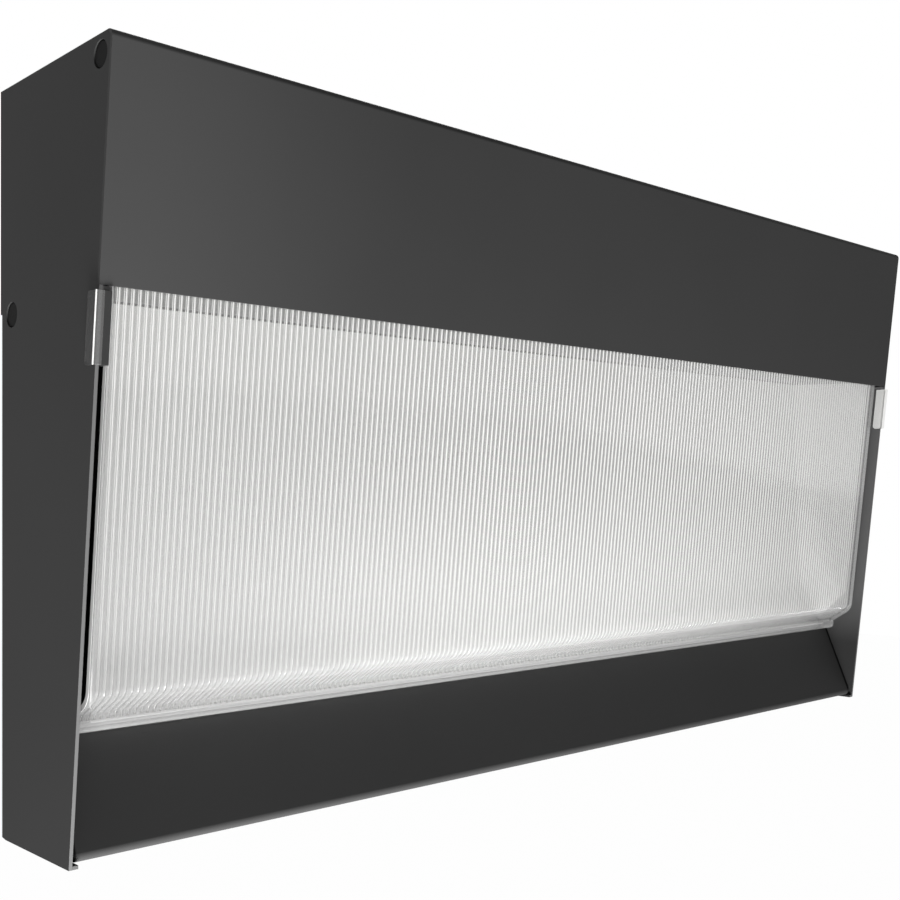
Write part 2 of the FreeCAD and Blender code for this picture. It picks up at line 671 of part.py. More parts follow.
def lamp_tray():
    """Aluminium tray that carries the lamp boards and spreads their heat."""
    rear = tray_rear_y()
    front = rear - TRAY_DEPTH
    path = [at(front, TRAY_Z + TRAY_FLANGE), at(front, TRAY_Z), at(rear, TRAY_Z),
            at(rear, REFLECTOR_TOP_Z - TRAY_LAP)]
    reach = end_wall_x(reflector_back_y(), REFLECTOR_TOP_Z) - TRAY_SIDE_GAP
    body = extruded(folded_section(path, TRAY_SHEET, TRAY_BEND), -TRAY_HALF, TRAY_HALF)
    for side in (-1, 1):
        x0, x1 = sorted((side * reach, side * (TRAY_HALF + CUT)))
        body = body.cut(block(x0, x1, rear - CUT, rear + TRAY_SHEET + CUT, 0, TRAY_Z - TRAY_BEND))
        body = body.cut(tray_hole(side * (TRAY_HALF - TRAY_SCREW_INSET), TRAY_Z, TRAY_SHEET))
    return body


def tray_hole(x, low_z, thickness):
    place = FreeCAD.Vector(x, tray_middle_y(), low_z - CUT)
    return Part.makeCylinder(SMALL_SCREW / 2, thickness + 2 * CUT, place)


def tray_bracket():
    """Right-hand angle between the lamp tray and the side panel's doubler."""
    low_z = TRAY_Z + TRAY_SHEET
    front = tray_middle_y() - BRACKET_WIDTH / 2
    foot_x, wall_x = TRAY_HALF - BRACKET_FOOT, DOUBLER_INNER
    foot = block(foot_x, wall_x, front, front + BRACKET_WIDTH, low_z, low_z + SHEET)
    upright = block(wall_x - SHEET, wall_x, front, front + BRACKET_WIDTH, low_z, HEIGHT - BRACKET_DROP)
    body = joined([foot, upright])
    fold = [edge for edge in body.Edges
            if abs(edge.CenterOfMass.x - wall_x) < CUT / 2 and abs(edge.CenterOfMass.z - low_z) < CUT / 2
            and abs(edge.tangentAt(0).dot(OUT)) > 0.99]
    body = body.makeFillet(BEND, fold)
    return body.cut(tray_hole(TRAY_HALF - TRAY_SCREW_INSET, low_z, SHEET))


def tray_screw():
    place = FreeCAD.Vector(TRAY_HALF - TRAY_SCREW_INSET, tray_middle_y(), TRAY_Z + TRAY_SHEET + SHEET)
    return small_screw(place, UP, TRAY_SHEET + 2 * SHEET)


def board_x(index):
    return (index - 1) * (BOARD_LENGTH + BOARD_GAP)


def lamp_board(index):
    """Narrow circuit board under the tray, with a notch for a fixing in each end."""
    x, y = board_x(index), tray_middle_y()
    half = BOARD_LENGTH / 2
    low_z = TRAY_Z - BOARD_THICK
    body = block(x - half, x + half, y - BOARD_DEPTH / 2, y + BOARD_DEPTH / 2, low_z, TRAY_Z)
    depth, width = BOARD_NOTCH
    for side in (-1, 1):
        x0, x1 = sorted((x + side * (half - depth), x + side * (half + CUT)))
        body = body.cut(block(x0, x1, y - width / 2, y + width / 2, low_z - CUT, TRAY_Z + CUT))
    return body


def lamps(index):
    """One board's row of light sources, facing down into the reflector."""
    pitch = (BOARD_LENGTH - 2 * LED_MARGIN) / (LEDS_PER_BOARD - 1)
    top = TRAY_Z - BOARD_THICK
    y = tray_middle_y()
    row = []
    for number in range(LEDS_PER_BOARD):
        x = board_x(index) - BOARD_LENGTH / 2 + LED_MARGIN + number * pitch
        row.append(block(x - LED[0] / 2, x + LED[0] / 2, y - LED[1] / 2, y + LED[1] / 2, top - LED[2], top))
    return group(row)


# ---- hinges ----
def knuckle_bar(x0, x1, radius):
    return prism(FreeCAD.Vector(x0, HINGE_Y, HINGE_Z), ALONG_X, x1 - x0, radius, SHANK_SIDES)


def hinge_parts(x):
    """Wall bracket, cover leaf and pin of the hinge centred at x."""
    x0, x1 = x - HINGE_LENGTH / 2, x + HINGE_LENGTH / 2
    top = HINGE_Z + KNUCKLE_RADIUS
    plate_y = PAN_FACE_Y - SHEET
    bracket = [block(x0, x1, plate_y, PAN_FACE_Y, top + HINGE_PLATE_GAP, HINGE_Z + HINGE_PLATE)]
    for a, b in ((x0, x0 + END_KNUCKLE - KNUCKLE_GAP), (x1 - END_KNUCKLE + KNUCKLE_GAP, x1)):
        knuckle = knuckle_bar(a, b, KNUCKLE_RADIUS)
        arm = block(a, b, HINGE_Y, PAN_FACE_Y, top - SHEET, top)
        upright = block(a, b, plate_y, PAN_FACE_Y, top, top + HINGE_PLATE_GAP)
        bore = rod(a - CUT, b + CUT, HINGE_Y, HINGE_Z, PIN_RADIUS)
        bracket.append(joined([knuckle, arm, upright]).cut(bore))
    a, b = x0 + END_KNUCKLE, x1 - END_KNUCKLE
    floor = 2 * SHEET + SEAM
    knuckle = knuckle_bar(a, b, KNUCKLE_RADIUS)
    strip = block(a, b, HINGE_Y - HINGE_LEAF, HINGE_Y, floor, floor + SHEET)
    bore = rod(a - CUT, b + CUT, HINGE_Y, HINGE_Z, PIN_RADIUS + PIN_CLEARANCE)
    leaf = joined([knuckle, strip]).cut(bore)
    pin = joined([rod(x0, x1, HINGE_Y, HINGE_Z, PIN_RADIUS),
                  knuckle_bar(x0 - PIN_HEAD, x0, PIN_HEAD_RADIUS)])
    return joined(bracket), leaf, pin


# ---- wall unit ----
def back_pan():
    """Pan on the wall: slotted ears for the cover screws, beads, screw holes and outlet-box slots."""
    body = block(-PAN_HALF, PAN_HALF, PAN_FACE_Y, 0, PAN_BOTTOM_Z, PAN_TOP_Z)
    body = joined([body] + [pan_ear(side) for side in (-1, 1)])
    bead_x = PAN_HALF - BEAD_END_GAP - BEAD_LENGTH / 2
    for x in (-bead_x, 0.0, bead_x):
        for rise in BEAD_RISE:
            body = pressed_bead(body, x, WALL_CENTRE + rise)
    for side in (-1, 1):
        for end in (-1, 1):
            z = WALL_CENTRE + end * WALL_SPACING_Z / 2
            body = body.cut(drill(side * WALL_SPACING_X / 2, z, WALL_HOLE / 2))
        body = body.cut(box_slot(side * BOX_SPACING / 2))
        body = body.cut(drill(driver_screw_x(side), DRIVER_Z, SMALL_SCREW / 2))
    return body.cut(drill(0, WALL_CENTRE, CABLE_HOLE / 2))


def pan_rail():
    """Angle welded along the pan's top edge; it carries the foam and holds the cover's top."""
    depth, height = TOP_RAIL
    path = [at(PAN_FACE_Y, PAN_TOP_Z - height), at(PAN_FACE_Y, PAN_TOP_Z), at(PAN_FACE_Y - depth, PAN_TOP_Z)]
    return extruded(folded_section(path, SHEET, BEND), -PAN_HALF, PAN_HALF)


def pan_ear(side):
    """Side ear with a slot open to the front, so the cover's screw swings out of it."""
    x0, x1 = sorted((side * PAN_HALF, side * (PAN_HALF - SHEET)))
    front = PAN_FACE_Y - EAR_DEPTH
    low = PAN_SCREW_Z - EAR_HEIGHT / 2
    half = (SCREW_SHANK + EAR_SLOT_CLEAR) / 2
    slot = block(x0 - CUT, x1 + CUT, front - CUT, PAN_SCREW_Y, PAN_SCREW_Z - half, PAN_SCREW_Z + half)
    end = rod(x0 - CUT, x1 + CUT, PAN_SCREW_Y, PAN_SCREW_Z, half)
    return block(x0, x1, front, 0, low, low + EAR_HEIGHT).cut(joined([slot, end]))


def bead_section(base_y, crest_y, z, base, crest):
    return [at(base_y, z - base / 2), at(crest_y, z - crest / 2), at(crest_y, z + crest / 2),
            at(base_y, z + base / 2)]


def pressed_bead(body, x, z):
    """A bead pressed forward in the pan: raised in front and hollow behind."""
    x0, x1 = x - BEAD_LENGTH / 2, x + BEAD_LENGTH / 2
    raised = plate(bead_section(PAN_FACE_Y, PAN_FACE_Y - BEAD_HEIGHT, z, BEAD_BASE, BEAD_CREST), x0, x1)
    hollow = plate(bead_section(0, -BEAD_HEIGHT, z, BEAD_HOLLOW[0], BEAD_HOLLOW[1]), x0 + SHEET, x1 - SHEET)
    return joined([body, raised]).cut(hollow)


def box_slot(x):
    """Slot along X for a screw of an outlet box."""
    width, length = BOX_SLOT
    half = width / 2
    run = (length - width) / 2
    slot = block(x - run, x + run, PAN_FACE_Y - CUT, CUT, WALL_CENTRE - half, WALL_CENTRE + half)
    ends = [drill(x + side * run, WALL_CENTRE, half) for side in (-1, 1)]
    return joined([slot] + ends)


def cable_grommet():
    """Rubber bushing in the pan's cable hole."""
    centre = FreeCAD.Vector(0, 0, WALL_CENTRE)
    depth = SHEET + GROMMET_THICK
    sleeve = Part.makeCylinder(CABLE_HOLE / 2, depth, centre, OUT)
    flange = Part.makeCylinder(CABLE_HOLE / 2 + GROMMET_FLANGE, GROMMET_THICK, centre + OUT * SHEET, OUT)
    bore = Part.makeCylinder(CABLE_BORE / 2, depth + 2 * CUT, centre - OUT * CUT, OUT)
    return joined([sleeve, flange]).cut(bore)


def top_seal():
    """Foam strip on the angle of the pan, under the cover's top."""
    inset, offset = TOP_SEAL_INSET
    rear = PAN_FACE_Y - offset
    reach = PAN_HALF - inset
    return block(-reach, reach, rear - TOP_SEAL_WIDTH, rear, PAN_TOP_Z, PAN_TOP_Z + TOP_SEAL)


def driver_screw_x(side):
    return DRIVER_X + side * (DRIVER[0] + DRIVER_FOOT) / 2


def driver_case():
    """Power supply's case on two feet, each with a slot open at its end."""
    length, depth, height = DRIVER
    x0, x1 = DRIVER_X - length / 2, DRIVER_X + length / 2
    z0, z1 = DRIVER_Z - height / 2, DRIVER_Z + height / 2
    case = chamfered_block(x0, x1, PAN_FACE_Y - depth, PAN_FACE_Y, z0, z1, DRIVER_CHAMFER, ALONG_X)
    foot_y = PAN_FACE_Y - DRIVER_FOOT_SHEET
    reach = DRIVER_FOOT_WIDTH / 2
    feet = block(x0 - DRIVER_FOOT, x1 + DRIVER_FOOT, foot_y, PAN_FACE_Y, DRIVER_Z - reach, DRIVER_Z + reach)
    body = joined([case, feet])
    half = SMALL_SCREW / 2
    for side in (-1, 1):
        edge = DRIVER_X + side * (length / 2 + DRIVER_FOOT + CUT)
        a, b = sorted((driver_screw_x(side) - side * half, edge))
        body = body.cut(block(a, b, foot_y - CUT, PAN_FACE_Y + CUT, DRIVER_Z - half, DRIVER_Z + half))
    return body


def driver_screws():
    foot_y = PAN_FACE_Y - DRIVER_FOOT_SHEET
    places = [FreeCAD.Vector(driver_screw_x(side), foot_y, DRIVER_Z) for side in (-1, 1)]
    return group([small_screw(place, OUT, DRIVER_FOOT_SHEET + SHEET) for place in places])


def terminal_places():
    first = TERMINAL_X - (TERMINAL_POLES - 1) * TERMINAL_PITCH / 2
    return [first + number * TERMINAL_PITCH for number in range(TERMINAL_POLES)]


def terminal_block():
    """Screw terminals for the supply wires, each in a tower with a square well."""
    half = TERMINAL_POLES * TERMINAL_PITCH / 2
    base_depth, base_height = TERMINAL_BASE
    tower_width, tower_depth, tower_height = TERMINAL_TOWER
    well, well_depth = TERMINAL_WELL
    pieces = [block(TERMINAL_X - half, TERMINAL_X + half, PAN_FACE_Y - base_depth, PAN_FACE_Y,
                    TERMINAL_Z - base_height / 2, TERMINAL_Z + base_height / 2)]
    front = PAN_FACE_Y - tower_depth
    for x in terminal_places():
        tower = block(x - tower_width / 2, x + tower_width / 2, front, PAN_FACE_Y,
                      TERMINAL_Z - tower_height / 2, TERMINAL_Z + tower_height / 2)
        pieces.append(tower)
    body = joined(pieces)
    for x in terminal_places():
        body = body.cut(block(x - well / 2, x + well / 2, front - CUT, front + well_depth,
                              TERMINAL_Z - well / 2, TERMINAL_Z + well / 2))
    return body


def terminal_screws():
    radius, length = TERMINAL_SCREW
    y = PAN_FACE_Y - TERMINAL_TOWER[1] + TERMINAL_WELL[1]
    places = [FreeCAD.Vector(x, y, TERMINAL_Z) for x in terminal_places()]
    return group([prism(place, OUT, length, radius, SHANK_SIDES) for place in places])


def surge_protector():
    """Potted block with cut-off upright edges."""
    length, depth, height = SURGE
    z = WALL_CENTRE - SURGE_DROP
    return chamfered_block(SURGE_X - length / 2, SURGE_X + length / 2, PAN_FACE_Y - depth, PAN_FACE_Y,
                           z - height / 2, z + height / 2, SURGE_CHAMFER, UP)


def earth_screw():
    """Hexagon head of the earthing screw, between terminal block and surge protector."""
    place = FreeCAD.Vector((TERMINAL_X + SURGE_X) / 2, PAN_FACE_Y, WALL_CENTRE - EARTH_DROP)
    return prism(place, OUT, EARTH_SCREW[1], EARTH_SCREW[0], 6)


def main():
    os.makedirs("parts", exist_ok=True)
    cover = fascia_cover()
    right_panel = side_panel(cover)
    left_panel = mirrored(right_panel)
    doubler = side_doubler()
    wall = end_wall()
    bracket = tray_bracket()
    clip = lens_clip()
    save("fascia_cover", cover)
    save("side_panel_left", left_panel)
    save("side_panel_right", right_panel)
    save("side_doubler_left", mirrored(doubler))
    save("side_doubler_right", doubler)
    save("sill_panel", sill_panel())
    save("lens", lens())
    save("lens_rail", lens_rail())
    save("lens_gasket", lens_gasket())
    save("lens_clip_left", mirrored(clip))
    save("lens_clip_right", clip)
    save("reflector", reflector())
    save("reflector_end_left", mirrored(wall))
    save("reflector_end_right", wall)
    save("lamp_tray", lamp_tray())
    save("tray_bracket_left", mirrored(bracket))
    save("tray_bracket_right", bracket)
    save("tray_screws", both_sides(tray_screw()))
    for index, side in enumerate(("left", "middle", "right")):
        save("lamp_board_" + side, lamp_board(index))
        save("lamps_" + side, lamps(index))
    save("top_screws", both_sides(side_screw(TOP_SCREW_Y, TOP_SCREW_Z)))
    save("top_nuts", both_sides(side_nut(TOP_SCREW_Y, TOP_SCREW_Z)))
    save("cover_screws", both_sides(side_screw(PAN_SCREW_Y, PAN_SCREW_Z)))
    save("cover_nuts", both_sides(side_nut(PAN_SCREW_Y, PAN_SCREW_Z)))
    for side, x in (("left", -HINGE_X), ("right", HINGE_X)):
        wall_bracket, leaf, pin = hinge_parts(x)
        save("hinge_bracket_" + side, wall_bracket)
        save("hinge_leaf_" + side, leaf)
        save("hinge_pin_" + side, pin)
    save("back_pan", back_pan())
    save("pan_rail", pan_rail())
    save("top_seal", top_seal())
    save("cable_grommet", cable_grommet())
    save("driver_case", driver_case())
    save("driver_screws", driver_screws())
    save("terminal_block", terminal_block())
    save("terminal_screws", terminal_screws())
    save("surge_protector", surge_protector())
    save("earth_screw", earth_screw())


main()
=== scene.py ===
# %% [markdown]
# # A wall pack light, dressed in Blender
# The object is a long shallow light for an outside wall: a dark folded-steel cover with a blank band
# on top, a ribbed clear lens below it and a small sloped sill under the lens. The construction comes
# from the CAD frame. Here it gets its finishes, a finer lens and its small details.

# %% Load the frame
import bmesh
import bpy
import numpy as np
import json
import math
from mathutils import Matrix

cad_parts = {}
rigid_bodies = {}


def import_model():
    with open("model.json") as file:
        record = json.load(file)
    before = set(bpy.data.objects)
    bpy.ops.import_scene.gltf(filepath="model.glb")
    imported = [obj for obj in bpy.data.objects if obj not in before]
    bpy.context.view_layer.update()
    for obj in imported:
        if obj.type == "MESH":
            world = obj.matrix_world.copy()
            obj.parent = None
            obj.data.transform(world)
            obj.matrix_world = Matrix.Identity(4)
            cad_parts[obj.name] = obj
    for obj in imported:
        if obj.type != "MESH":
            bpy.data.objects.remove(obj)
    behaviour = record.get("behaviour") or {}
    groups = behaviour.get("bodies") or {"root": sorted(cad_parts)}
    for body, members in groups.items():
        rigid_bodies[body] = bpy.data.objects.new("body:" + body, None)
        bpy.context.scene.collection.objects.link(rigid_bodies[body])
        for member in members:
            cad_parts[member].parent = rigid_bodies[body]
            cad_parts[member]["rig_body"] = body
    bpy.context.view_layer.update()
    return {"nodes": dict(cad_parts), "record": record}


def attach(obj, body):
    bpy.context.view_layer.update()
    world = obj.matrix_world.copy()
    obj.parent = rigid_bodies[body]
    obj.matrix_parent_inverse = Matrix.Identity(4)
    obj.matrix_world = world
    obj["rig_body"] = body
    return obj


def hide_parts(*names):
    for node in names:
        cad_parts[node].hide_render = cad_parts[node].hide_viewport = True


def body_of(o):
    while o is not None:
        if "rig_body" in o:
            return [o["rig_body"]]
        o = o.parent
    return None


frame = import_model()
nodes = frame["nodes"]

# %% [markdown]
# Lengths below are in millimetres as a sheet-metal worker would write them, and turned to metres once.
# Colours are written as the hex values that a painter picks on a screen. The shader works in linear
# light, so one function turns them over.

# %% Units and colours
MM = 0.001


def colour(hex_value, alpha=1.0):
    """sRGB hex to linear: c/12.92 below 0.04045, else ((c+0.055)/1.055)^2.4, for each channel."""
    channels = np.array([int(hex_value[i:i + 2], 16) for i in (1, 3, 5)]) / 255.0
    linear = np.where(channels <= 0.04045, channels / 12.92, ((channels + 0.055) / 1.055) ** 2.4)
    return (*linear.tolist(), alpha)


def add(tree, kind, inputs=None, **settings):
    """Adds one node, sets its settings, and fills its inputs with values or with other nodes' outputs."""
    node = tree.nodes.new(kind)
    for name, value in settings.items():
        setattr(node, name, value)
    for name, value in (inputs or {}).items():
        if isinstance(value, bpy.types.NodeSocket):
            tree.links.new(value, node.inputs[name])
        else:
            node.inputs[name].default_value = value
    return node


finishes = {}


def new_finish(name):
    """An empty material, kept in finishes under its plain name; returns material and tree."""
    finish = finishes[name] = bpy.data.materials.new(name)
    finish.use_nodes = True
    finish.node_tree.nodes.clear()
    return finish, finish.node_tree


def surface(tree, shader):
    add(tree, "ShaderNodeOutputMaterial", {"Surface": shader})


print("dark grey in linear light", colour("#3a3a3a"))

# %% [markdown]
# The camera stands level, in front of the light's left half and about half a metre from its front, and
# looks across it to the right. Its uprights stay upright in the picture, so the frame is moved with a
# small lens shift instead of a tilt, as an architect's camera does.

# %% Camera
CAMERA_PLACE = (-0.5201, -0.5110, -0.0145)
CAMERA_TURN = math.radians(-43.176)  # clockwise from looking straight at the wall
camera_data = bpy.data.cameras.new("camera")
camera = bpy.data.objects.new("camera", camera_data)
bpy.context.scene.collection.objects.link(camera)
camera_data.sensor_width = 36.0
camera_data.lens = 48.456
camera_data.shift_y = 0.0542
camera_data.clip_start = 0.01
camera.location = CAMERA_PLACE
camera.rotation_euler = (math.radians(90.0), 0.0, CAMERA_TURN)
bpy.context.scene.camera = camera
print("camera at", CAMERA_PLACE, "lens", camera_data.lens)

# %% [markdown]
# The studio is white: a pale floor that keeps a soft shadow, and a white surround. The light hangs on a
# wall in use, so the floor lies a metre below it. Both only look fully white to the eye, and the
# surround in reflections too. As a light the surround is dimmer, so the lamps can shape the dark steel.

# %% Surfaces from grids
bpy.context.scene.view_settings.view_transform = "Standard"


def grid_mesh(name, points, closed_u=False, ends=False):
    """A mesh from an array of points [v, u, 3]; each cell of the grid becomes one four-sided face.
    With ends, the first and the last row each close with one many-sided face."""
    rows, columns = points.shape[:2]
    index = np.arange(rows * columns).reshape(rows, columns)
    caps = [index[0, ::-1].tolist(), index[-1].tolist()] if ends else []
    if closed_u:
        index = np.concatenate([index, index[:, :1]], axis=1)
    quads = np.stack([index[:-1, :-1], index[:-1, 1:], index[1:, 1:], index[1:, :-1]], axis=-1).reshape(-1, 4)
    mesh = bpy.data.meshes.new(name)
    mesh.from_pydata(points.reshape(-1, 3).tolist(), [], quads.tolist() + caps)
    mesh.update()
    return mesh


def placed(mesh, finish):
    """An object at the origin for a mesh that already holds its place."""
    piece = bpy.data.objects.new(mesh.name, mesh)
    bpy.context.scene.collection.objects.link(piece)
    mesh.materials.append(finish)
    return piece


print("colours are shown with the view", bpy.context.scene.view_settings.view_transform)

# %% Floor
FLOOR_LEVEL = -1.15
FLOOR_REACH = 9.0
FLOOR_WHITE = 0.985  # share of plain white that the eye sees; the rest is the lit paint with its shadow
floor_paint, tree = new_finish("floor_paint")
path = add(tree, "ShaderNodeLightPath")
paint = add(tree, "ShaderNodeBsdfDiffuse", {"Color": colour("#f4f4f4")})
glow = add(tree, "ShaderNodeEmission", {"Color": (1, 1, 1, 1), "Strength": 1.0})
seen = add(tree, "ShaderNodeMath", {0: path.outputs["Is Camera Ray"], 1: FLOOR_WHITE}, operation="MULTIPLY")
mix = add(tree, "ShaderNodeMixShader", {"Fac": seen.outputs[0], 1: paint.outputs[0], 2: glow.outputs[0]})
surface(tree, mix.outputs[0])
span = np.array([-FLOOR_REACH, FLOOR_REACH])
u, v = np.meshgrid(span, span)
floor = placed(grid_mesh("floor", np.stack([u, v, np.full_like(u, FLOOR_LEVEL)], axis=-1)), floor_paint)
print("floor at", FLOOR_LEVEL, "m")

# %% Surround
SURROUND_LIGHT = 0.30  # strength as a light; 1 is white
world = bpy.data.worlds.new("surround")
bpy.context.scene.world = world
world.use_nodes = True
tree = world.node_tree
tree.nodes.clear()
path = add(tree, "ShaderNodeLightPath")
seen = add(tree, "ShaderNodeMath", {0: path.outputs["Is Camera Ray"], 1: path.outputs["Is Glossy Ray"]},
           operation="MAXIMUM")
seen = add(tree, "ShaderNodeMath", {0: seen.outputs[0], 1: path.outputs["Is Transmission Ray"]},
           operation="MAXIMUM")
level = add(tree, "ShaderNodeMapRange", {"Value": seen.outputs[0], "To Min": SURROUND_LIGHT, "To Max": 1.0})
back = add(tree, "ShaderNodeBackground", {"Color": (1, 1, 1, 1), "Strength": level.outputs[0]})
add(tree, "ShaderNodeOutputWorld", {"Surface": back.outputs[0]})
print("surround lights with", SURROUND_LIGHT)

# %% [markdown]
# One broad soft lamp stands low in front of the left half and shines up. The band above the lens leans
# forward and catches it. The sill leans back and the side stands edge-on, so both stay darker, and the
# side darkens toward its top. A wide lamp behind, above and to the right shows the back, the top and
# the right side in other views, and shines on no face that the camera sees.

# %% Lamps


def soft_lamp(name, place, aim, size, power):
    """A rectangular area lamp of `size` m and `power` W at `place`, turned to shine toward `aim`."""
    data = bpy.data.lights.new(name, "AREA")
    data.shape = "RECTANGLE"
    data.size, data.size_y = size
    data.energy = power
    lamp = bpy.data.objects.new(name, data)
    lamp.location = place
    direction = np.array(aim) - np.array(place)
    run = float(np.hypot(direction[0], direction[1]))
    lamp.rotation_euler = (math.atan2(run, -direction[2]), 0.0, math.atan2(-direction[0], direction[1]))
    bpy.context.scene.collection.objects.link(lamp)
    return lamp


soft_lamp("low_lamp", (-0.42, -0.36, -0.78), (-0.08, -0.05, 0.0), (0.36, 0.28), 21.0)
soft_lamp("back_lamp", (1.2, 1.35, 0.9), (0.0, 0.0, 0.0), (1.2, 1.2), 34.0)

# %% [markdown]
# ## The finishes
# Most skins of such a light have the same build: one colour that drifts a little over the length of a
# hand, and a fine grain that changes how the skin shines. So one function makes them all. The grain is
# raised by a bump for orange peel and moulded texture, or pulled into lines for drawn metal. A finish
# that has more to show, such as a pale edge, brings a cover: a function that changes the tone by place.

# %% A skin with patches and grain


def skin(name, base, pale, patch, grain, depth, rough, spread, spec=0.5, metal=0.0,
         pull=(1.0, 1.0, 1.0), cover=None):
    """Tone = mix of base and pale by noise `patch` mm wide; roughness runs from rough - spread to
    rough + spread, and the bump from 0 to depth mm, both by noise `grain` mm wide."""
    finish, tree = new_finish(name)
    place = add(tree, "ShaderNodeTexCoord").outputs["Object"]
    patches = add(tree, "ShaderNodeTexNoise", {"Vector": place, "Scale": 1 / (patch * MM), "Detail": 2.0})
    tone = add(tree, "ShaderNodeMix", {0: patches.outputs["Fac"], 6: colour(base), 7: colour(pale)},
               data_type="RGBA").outputs[2]
    if cover:
        tone = cover(tree, place, tone)
    pulled = add(tree, "ShaderNodeVectorMath", {0: place, 1: pull}, operation="MULTIPLY")
    fine = add(tree, "ShaderNodeTexNoise", {"Vector": pulled.outputs[0], "Scale": 1 / (grain * MM),
                                            "Detail": 3.0})
    raised = add(tree, "ShaderNodeBump", {"Height": fine.outputs["Fac"], "Distance": depth * MM})
    shine = add(tree, "ShaderNodeMapRange", {"Value": fine.outputs["Fac"], "To Min": rough - spread,
                                             "To Max": rough + spread})
    body = add(tree, "ShaderNodeBsdfPrincipled", {"Base Color": tone, "Roughness": shine.outputs[0],
                                                  "Normal": raised.outputs[0], "Metallic": metal,
                                                  "Specular IOR Level": spec})
    surface(tree, body.outputs[0])
    return finish


print("a skin is made by", skin.__name__)

# %% [markdown]
# Powder coat is dry paint melted onto the steel: satin, even, with an orange-peel ripple a millimetre
# wide. It draws back from a sheared edge, so the front edges of the side panels have a thinner coat; their
# paler grey is that thinner coat and a painted highlight of the light they catch. Two masks together find
# them: the face looks forward, and it lies in the sloped front plane. The panels' inner faces get painted
# shade, darkest low down beside the sill.

# %% Side panel's coat
FRONT = (0.0, -0.994, -0.112)  # the way that the sloped front plane looks
FRONT_PLANE = 79.5             # mm along FRONT, 1.7 mm short of that plane


def edge_highlight_and_inner_shade(tree, place, tone):
    """Mixes in a paler grey, thinner coat and painted highlight both, where normal . FRONT is over 0.8
    and place . FRONT over FRONT_PLANE. The inner faces (x * normal x under 0) get painted shade, darker
    below z = -85 mm."""
    normal = add(tree, "ShaderNodeNewGeometry").outputs["Normal"]
    facing = add(tree, "ShaderNodeVectorMath", {0: normal, 1: FRONT}, operation="DOT_PRODUCT")
    front = add(tree, "ShaderNodeVectorMath", {0: place, 1: FRONT}, operation="DOT_PRODUCT")
    front = add(tree, "ShaderNodeMath", {0: front.outputs["Value"], 1: FRONT_PLANE * MM},
                operation="GREATER_THAN")
    # the paler front edge: thinner coat and a painted highlight
    edge = add(tree, "ShaderNodeMapRange", {"Value": facing.outputs["Value"], "From Min": 0.80,
                                            "From Max": 0.95})
    edge = add(tree, "ShaderNodeMath", {0: edge.outputs[0], 1: front.outputs[0]}, operation="MULTIPLY")
    spot = add(tree, "ShaderNodeSeparateXYZ", {0: place}).outputs
    aside = add(tree, "ShaderNodeSeparateXYZ", {0: normal})
    inward = add(tree, "ShaderNodeMath", {0: spot["X"], 1: aside.outputs["X"]}, operation="MULTIPLY")
    inward = add(tree, "ShaderNodeMath", {0: inward.outputs[0], 1: -0.25}, operation="LESS_THAN").outputs[0]
    # painted shade on the inner faces, darker toward the bottom
    level = add(tree, "ShaderNodeMapRange", {"Value": spot["Z"], "From Min": -120 * MM, "From Max": -85 * MM})
    inside = add(tree, "ShaderNodeMix", {0: level.outputs[0], 6: colour("#2a2a2a"), 7: colour("#4c4c4c")},
                 data_type="RGBA").outputs[2]
    tone = add(tree, "ShaderNodeMix", {0: inward, 6: tone, 7: inside}, data_type="RGBA").outputs[2]
    return add(tree, "ShaderNodeMix", {0: edge.outputs[0], 6: tone, 7: colour("#6c6c6c")},
               data_type="RGBA").outputs[2]


COAT = ("#3f3f3f", "#434343", 90, 1.2, 0.006, 0.45, 0.04, 0.015)
dark_powder_coat = skin("dark_powder_coat", *COAT)
dark_side_coat = skin("dark_side_coat", *COAT, cover=edge_highlight_and_inner_shade)
dark_inner_coat = skin("dark_inner_coat", "#363636", "#3b3b3b", 70, 1.2, 0.006, 0.5, 0.05, 0.02)
print("powder coats", dark_powder_coat.name, dark_side_coat.name, dark_inner_coat.name)

# %% [markdown]
# The sill and the blank band have the same coat. Between the sill's ends and the side panels runs a
# narrow seam that no light leaves, so the sill's last millimetre gets painted shade. The band's left
# end is paler: a painted highlight, a slow change of tone by place, so it shows under any lamp.

# %% Sill's and band's coat


def painted_seam_shade(tree, place, tone):
    """Paints shade on each end of the sill from |x| = 300.8 mm to 301.4 mm, where it turns into the seam."""
    x = add(tree, "ShaderNodeSeparateXYZ", {0: place}).outputs["X"]
    away = add(tree, "ShaderNodeMath", {0: x}, operation="ABSOLUTE").outputs[0]
    # painted shade at the sill's ends
    gap = add(tree, "ShaderNodeMapRange", {"Value": away, "From Min": 300.8 * MM, "From Max": 301.4 * MM})
    return add(tree, "ShaderNodeMix", {0: gap.outputs[0], 6: tone, 7: colour("#161616")},
               data_type="RGBA").outputs[2]


def painted_highlight_left_end(tree, place, tone):
    """Paints a highlight: scales the tone by 1.32 at x = -320 mm, easing to 0.86 from x = -140 mm to the
    right end.
    """
    x = add(tree, "ShaderNodeSeparateXYZ", {0: place}).outputs["X"]
    # painted highlight, strongest at the left end
    share = add(tree, "ShaderNodeMapRange", {"Value": x, "From Min": -320 * MM, "From Max": -140 * MM,
                                             "To Min": 1.32, "To Max": 0.86}, interpolation_type="SMOOTHSTEP")
    return add(tree, "ShaderNodeVectorMath", {0: tone, "Scale": share.outputs[0]},
               operation="SCALE").outputs[0]


dark_sill_coat = skin("dark_sill_coat", *COAT, cover=painted_seam_shade)
dark_band_coat = skin("dark_band_coat", *COAT, cover=painted_highlight_left_end)
print("more powder coats", dark_sill_coat.name, dark_band_coat.name)

# %% [markdown]
# The reflector is sheet that was enamelled white and bent afterwards. The enamel is nearly matte, so
# it spreads the lamps' light. The sheared top edge shows as a thin dark line through the lens. The
# lower left corner has painted shade, a little dimmer than the rest.

# %% White enamel
REFLECTOR_TOP = 70.0   # mm above the middle of the light
# painted shade in the reflector's lower left corner
CORNER_SHADE = -0.26   # share of the tone that the corner loses


